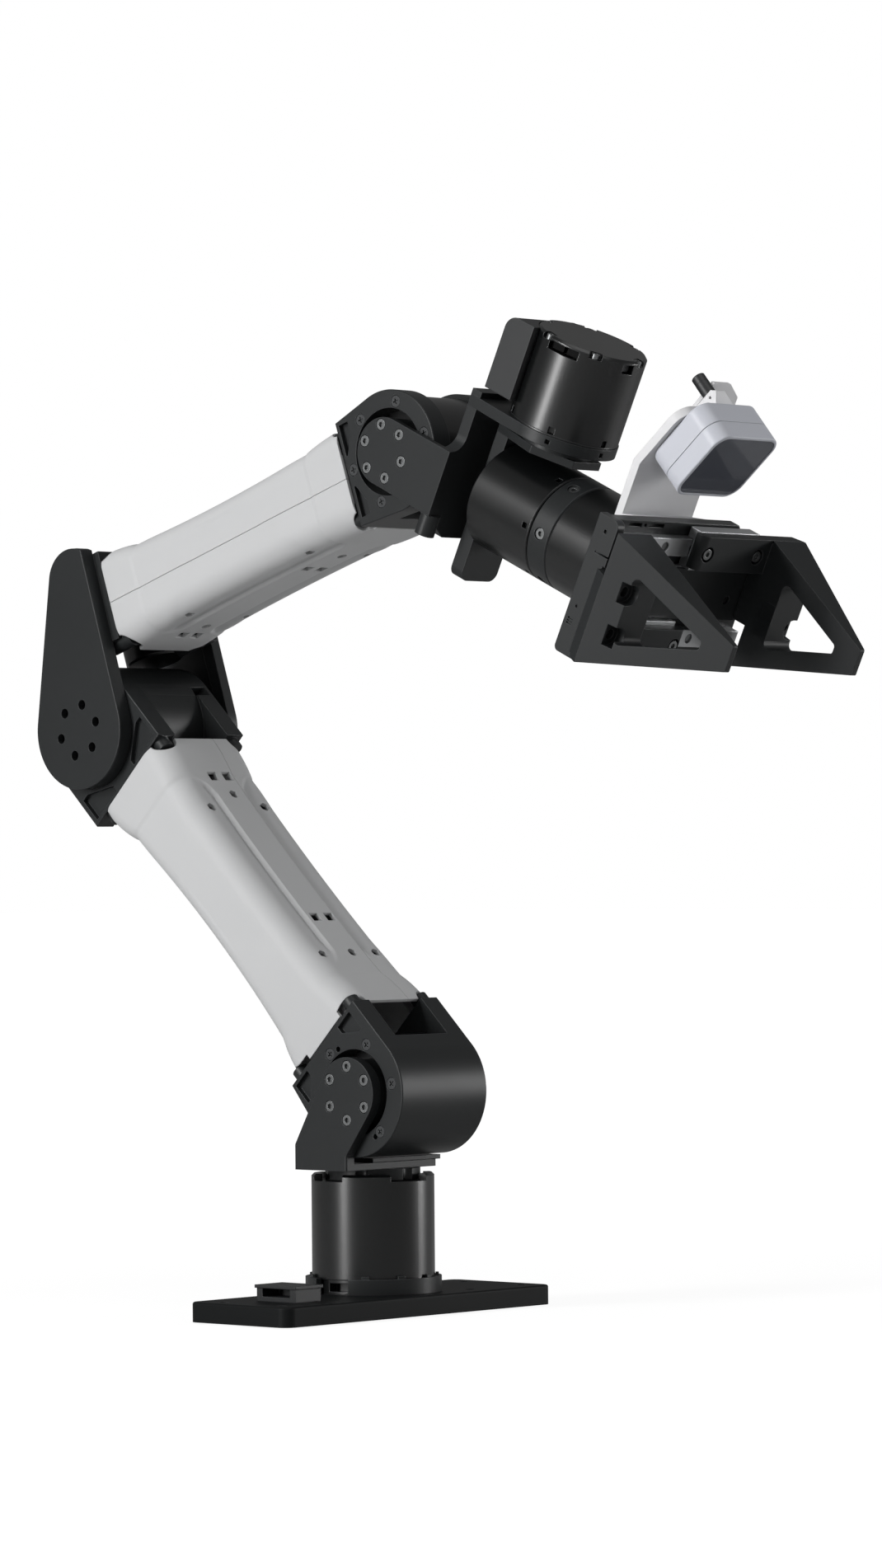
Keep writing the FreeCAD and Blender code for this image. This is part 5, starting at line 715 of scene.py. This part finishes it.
def screwRing(form):
    group, entry, leave = newGroup(
        "screwRing", "GeometryNodeTree",
        [("Count", "NodeSocketInt", 6), ("Ring Radius", "NodeSocketFloat", 25.0),
         ("Head Radius", "NodeSocketFloat", 2.3), ("Head Height", "NodeSocketFloat", 2.6),
         ("Socket Radius", "NodeSocketFloat", 1.2), ("Lift", "NodeSocketFloat", 0.0),
         ("First Turn", "NodeSocketFloat", 0.0), ("Material", "NodeSocketMaterial", None)],
        [("Geometry", "NodeSocketGeometry")],
    )
    ring = addNode(group, "GeometryNodeMeshCircle")
    head = addNode(group, "GeometryNodeMeshCylinder", {"Vertices": form["headCorners"]})
    socket = addNode(group, "GeometryNodeMeshCylinder", {"Vertices": form["socketCorners"]})
    opened = addNode(group, "GeometryNodeMeshBoolean", operation="DIFFERENCE", solver="EXACT")
    raised = addNode(group, "GeometryNodeTransform")
    half = addNode(group, "ShaderNodeMath", {1: 0.5}, operation="MULTIPLY")
    above = addNode(group, "ShaderNodeCombineXYZ")
    turned = addNode(group, "GeometryNodeTransform")
    spin = addNode(group, "ShaderNodeCombineXYZ")
    height = addNode(group, "ShaderNodeCombineXYZ")
    copies = addNode(group, "GeometryNodeInstanceOnPoints")
    solid = addNode(group, "GeometryNodeRealizeInstances")
    coated = addNode(group, "GeometryNodeSetMaterial")
    wire(
        group,
        (entry, "Count", ring, "Vertices"), (entry, "Ring Radius", ring, "Radius"),
        (entry, "Head Radius", head, "Radius"), (entry, "Head Height", head, "Depth"),
        (entry, "Socket Radius", socket, "Radius"), (entry, "Head Height", socket, "Depth"),
        (entry, "Head Height", half, 0), (half, "Value", above, "Z"),
        (above, "Vector", raised, "Translation"), (socket, "Mesh", raised, "Geometry"),
        (head, "Mesh", opened, "Mesh 1"), (raised, "Geometry", opened, "Mesh 2"),
        (entry, "First Turn", spin, "Z"), (entry, "Lift", height, "Z"),
        (ring, "Mesh", turned, "Geometry"), (spin, "Vector", turned, "Rotation"),
        (height, "Vector", turned, "Translation"), (turned, "Geometry", copies, "Points"),
        (opened, "Mesh", copies, "Instance"), (copies, "Instances", solid, "Geometry"),
        (solid, "Geometry", coated, "Geometry"), (entry, "Material", coated, "Material"),
        (coated, "Geometry", leave, "Geometry"),
    )
    return group


screwNodes = screwRing(screwForm)


def screws(name, form, placed, body, label):
    item = objectFrom(name, bpy.data.meshes.new(name))
    fill = item.modifiers.new("ring", "NODES")
    fill.node_group = screwNodes
    values = {**form, "Material": finishes[label]}
    for socket in screwNodes.interface.items_tree:
        if socket.in_out == "INPUT" and socket.name in values:
            fill[socket.identifier] = values[socket.name]
    bake(item)
    item.data.transform(placed)
    smooth(item, screwForm["sharp"])
    settle(item, body, label)


# Six screws in the notches of the yaw motor's upper rim
rimScrews = {"Count": 6, "Ring Radius": 25.4, "Head Radius": 2.1, "Head Height": 2.6, "Socket Radius": 1.05,
             "Lift": 90.3, "First Turn": math.radians(-43.0)}
screws("yawRimScrews", rimScrews, yawFrame, "wrist_pitch", "screwSteel")
print("screws done")

# Sockets, black and darkened further as painted shade of their recess, and a port set back inside the two
# windows of the yaw motor
socketForm = {"turn": 282.0, "places": ((-8.2, -0.9), (0.9, 8.2)), "low": 85.9, "high": 89.7, "back": 20.4,
              "front": 24.2}
portForm = {**socketForm, "turn": 356.5, "places": ((-2.5, 2.5),), "front": 25.6}


def socketBlocks(name, form):
    points = []
    faces = []
    for start, stop in form["places"]:
        outline = turnedBox(math.radians(form["turn"]), form["back"], form["front"], start, stop)
        block, sides = prism(outline, form["low"], form["high"])
        faces += [tuple(len(points) + index for index in side) for side in sides]
        points += block
    return objectFrom(name, meshFrom(name, points, faces, yawFrame))


settle(socketBlocks("yawSockets", socketForm), "wrist_pitch", "socketBlackAndShade")
settle(socketBlocks("yawPort", portForm), "wrist_pitch", "darkSteel")
print("sockets done")

# Camera: a tapered plate behind the cable clip
clipForm = {"outline": ((6.6, 99.2), (18.6, 99.2), (27.0, 92.8), (27.0, 80.0), (-2.4, 80.0), (-2.4, 84.1)),
            "back": 149.6, "front": 151.8}
clipPlate = prismFrom("clipPlate", clipForm["outline"], clipForm["back"], clipForm["front"],
                      rollFrame @ alongX)
settle(clipPlate, "gripper", "palePlastic")

# Tail of the camera's plug, leaning along the plug
tailForm = {"x": 146.9, "y": 4.0, "z": 96.4, "radius": 3.45, "corners": 48, "start": -1.0, "stop": 4.2,
            "lean": (-0.906, 0.424), "sharp": 30}
leanX, leanZ = tailForm["lean"]
tailFrame = rollFrame @ Matrix((
    (leanZ, 0, leanX, tailForm["x"]),
    (0, 1, 0, tailForm["y"]),
    (-leanX, 0, leanZ, tailForm["z"]),
    (0, 0, 0, 1),
))
tailOutline = roundOutline(0, 0, tailForm["radius"], tailForm["corners"])
plugTail = prismFrom("plugTail", tailOutline, tailForm["start"], tailForm["stop"], tailFrame)
smooth(plugTail, tailForm["sharp"])
settle(plugTail, "gripper", "blackPlastic")
print("clip done")

# How white the stage is to a ray: all white to the camera and through glass, part white in reflections
stageLook = {"mirror": 0.08}


def seenWhite(tree):
    path = addNode(tree, "ShaderNodeLightPath")
    mirrored = addNode(tree, "ShaderNodeMath", {1: stageLook["mirror"]}, operation="MULTIPLY")
    first = addNode(tree, "ShaderNodeMath", operation="MAXIMUM")
    second = addNode(tree, "ShaderNodeMath", operation="MAXIMUM")
    wire(
        tree,
        (path, "Is Glossy Ray", mirrored, 0), (path, "Is Camera Ray", first, 0),
        (mirrored, "Value", first, 1), (first, "Value", second, 0), (path, "Is Transmission Ray", second, 1),
    )
    return second


# Floor that shows white to the camera and keeps a faint shadow, whiter towards its rim
floorLook = {"size": 30.0, "drop": 0.0005, "shadowShare": 0.3, "nearGlow": 1.3, "farGlow": 1.42,
             "nearReach": 0.25, "farReach": 1.6, "bounce": (0.55, 0.55, 0.55), "roughness": 0.9}
bpy.ops.mesh.primitive_plane_add(size=floorLook["size"], location=(0, 0, -floorLook["drop"]))
floor = bpy.context.object
floor.name = "floor"
floorMaterial = bpy.data.materials.new("floorPale")
floorMaterial.use_nodes = True
floorTree = floorMaterial.node_tree
floorShader = floorTree.nodes["Principled BSDF"]
floorShader.inputs["Base Color"].default_value = (*floorLook["bounce"], 1)
floorShader.inputs["Roughness"].default_value = floorLook["roughness"]
floorShader.inputs["Specular IOR Level"].default_value = 0.0
floorGlow = addNode(floorTree, "ShaderNodeEmission", {"Color": (1, 1, 1, 1)})
floorPlace = addNode(floorTree, "ShaderNodeTexCoord")
floorAway = addNode(floorTree, "ShaderNodeVectorMath", operation="LENGTH")
floorLevel = addNode(floorTree, "ShaderNodeMapRange", {
    "From Min": floorLook["nearReach"], "From Max": floorLook["farReach"],
    "To Min": floorLook["nearGlow"], "To Max": floorLook["farGlow"],
})
floorMix = addNode(floorTree, "ShaderNodeMixShader")
floorShare = addNode(floorTree, "ShaderNodeMath", {1: 1 - floorLook["shadowShare"]}, operation="MULTIPLY")
wire(
    floorTree,
    (floorPlace, "Object", floorAway, 0), (floorAway, "Value", floorLevel, "Value"),
    (floorLevel, "Result", floorGlow, "Strength"), (seenWhite(floorTree), "Value", floorShare, 0),
    (floorShare, "Value", floorMix, "Fac"), (floorShader, "BSDF", floorMix, 1),
    (floorGlow, "Emission", floorMix, 2), (floorMix, "Shader", floorTree.nodes["Material Output"], "Surface"),
)
floor.data.materials.append(floorMaterial)

# Backdrop: white to the camera, a dim grey room to the light
worldLook = {"room": 0.12, "white": 1.0}
world = bpy.data.worlds.new("studio")
scene.world = world
world.use_nodes = True
worldTree = world.node_tree
background = worldTree.nodes["Background"]
background.inputs["Color"].default_value = (1, 1, 1, 1)
worldLevel = addNode(worldTree, "ShaderNodeMapRange", {
    "To Min": worldLook["room"], "To Max": worldLook["white"],
})
wire(worldTree, (seenWhite(worldTree), "Value", worldLevel, "Value"),
     (worldLevel, "Result", background, "Strength"))

# Soft studio lights, in metres and watts
softboxes = {
    "keyLeft": {"place": (-0.55, -2.35, 0.8), "aim": (0, 0, 0.3), "width": 0.38, "height": 1.8, "power": 55},
    "rimRight": {"place": (1.3, 1.85, 0.3), "aim": (0, 0, 0.2), "width": 0.35, "height": 0.9, "power": 20},
    "topSoft": {"place": (0.9, -0.2, 2.3), "aim": (0, 0, 0.3), "width": 1.6, "height": 1.6, "power": 12},
    "frontFill": {"place": (1.5, -2.0, 1.7), "aim": (0, 0, 0.3), "width": 1.8, "height": 1.8, "power": 6},
}
for name, box in softboxes.items():
    light = bpy.data.lights.new(name, "AREA")
    light.shape = "RECTANGLE"
    light.size = box["width"]
    light.size_y = box["height"]
    light.energy = box["power"]
    lamp = bpy.data.objects.new(name, light)
    lamp.location = box["place"]
    lamp.rotation_mode = "QUATERNION"
    lamp.rotation_quaternion = (Vector(box["aim"]) - Vector(box["place"])).to_track_quat("-Z", "Y")
    scene.collection.objects.link(lamp)

# Camera at the photograph's place
shot = {"azimuth": 43.0874, "distance": 3.0555, "height": 0.2324, "yaw": 0.0118, "pitch": 0.0108,
        "roll": 0.0085, "lens": 139.02, "sensor": 36, "reach": 100}
turn = math.radians(shot["azimuth"])
back = Vector((math.sin(turn), -math.cos(turn), 0))
right = Vector((math.cos(turn), math.sin(turn), 0))
up = Vector((0, 0, 1))
ahead = -back * math.cos(shot["yaw"]) + right * math.sin(shot["yaw"])
right = right * math.cos(shot["yaw"]) + back * math.sin(shot["yaw"])
aim = ahead * math.cos(shot["pitch"]) + up * math.sin(shot["pitch"])
up = up * math.cos(shot["pitch"]) - ahead * math.sin(shot["pitch"])
across = right * math.cos(shot["roll"]) - up * math.sin(shot["roll"])
upright = right * math.sin(shot["roll"]) + up * math.cos(shot["roll"])
cameraData = bpy.data.cameras.new("shotCamera")
cameraData.lens = shot["lens"]
cameraData.sensor_width = shot["sensor"]
cameraData.clip_end = shot["reach"]
camera = bpy.data.objects.new("shotCamera", cameraData)
scene.collection.objects.link(camera)
spot = back * shot["distance"] + Vector((0, 0, shot["height"]))
camera.matrix_world = Matrix((
    (across.x, upright.x, -aim.x, spot.x),
    (across.y, upright.y, -aim.y, spot.y),
    (across.z, upright.z, -aim.z, spot.z),
    (0, 0, 0, 1),
))
scene.camera = camera
scene.view_settings.view_transform = "Standard"
print("stage done")
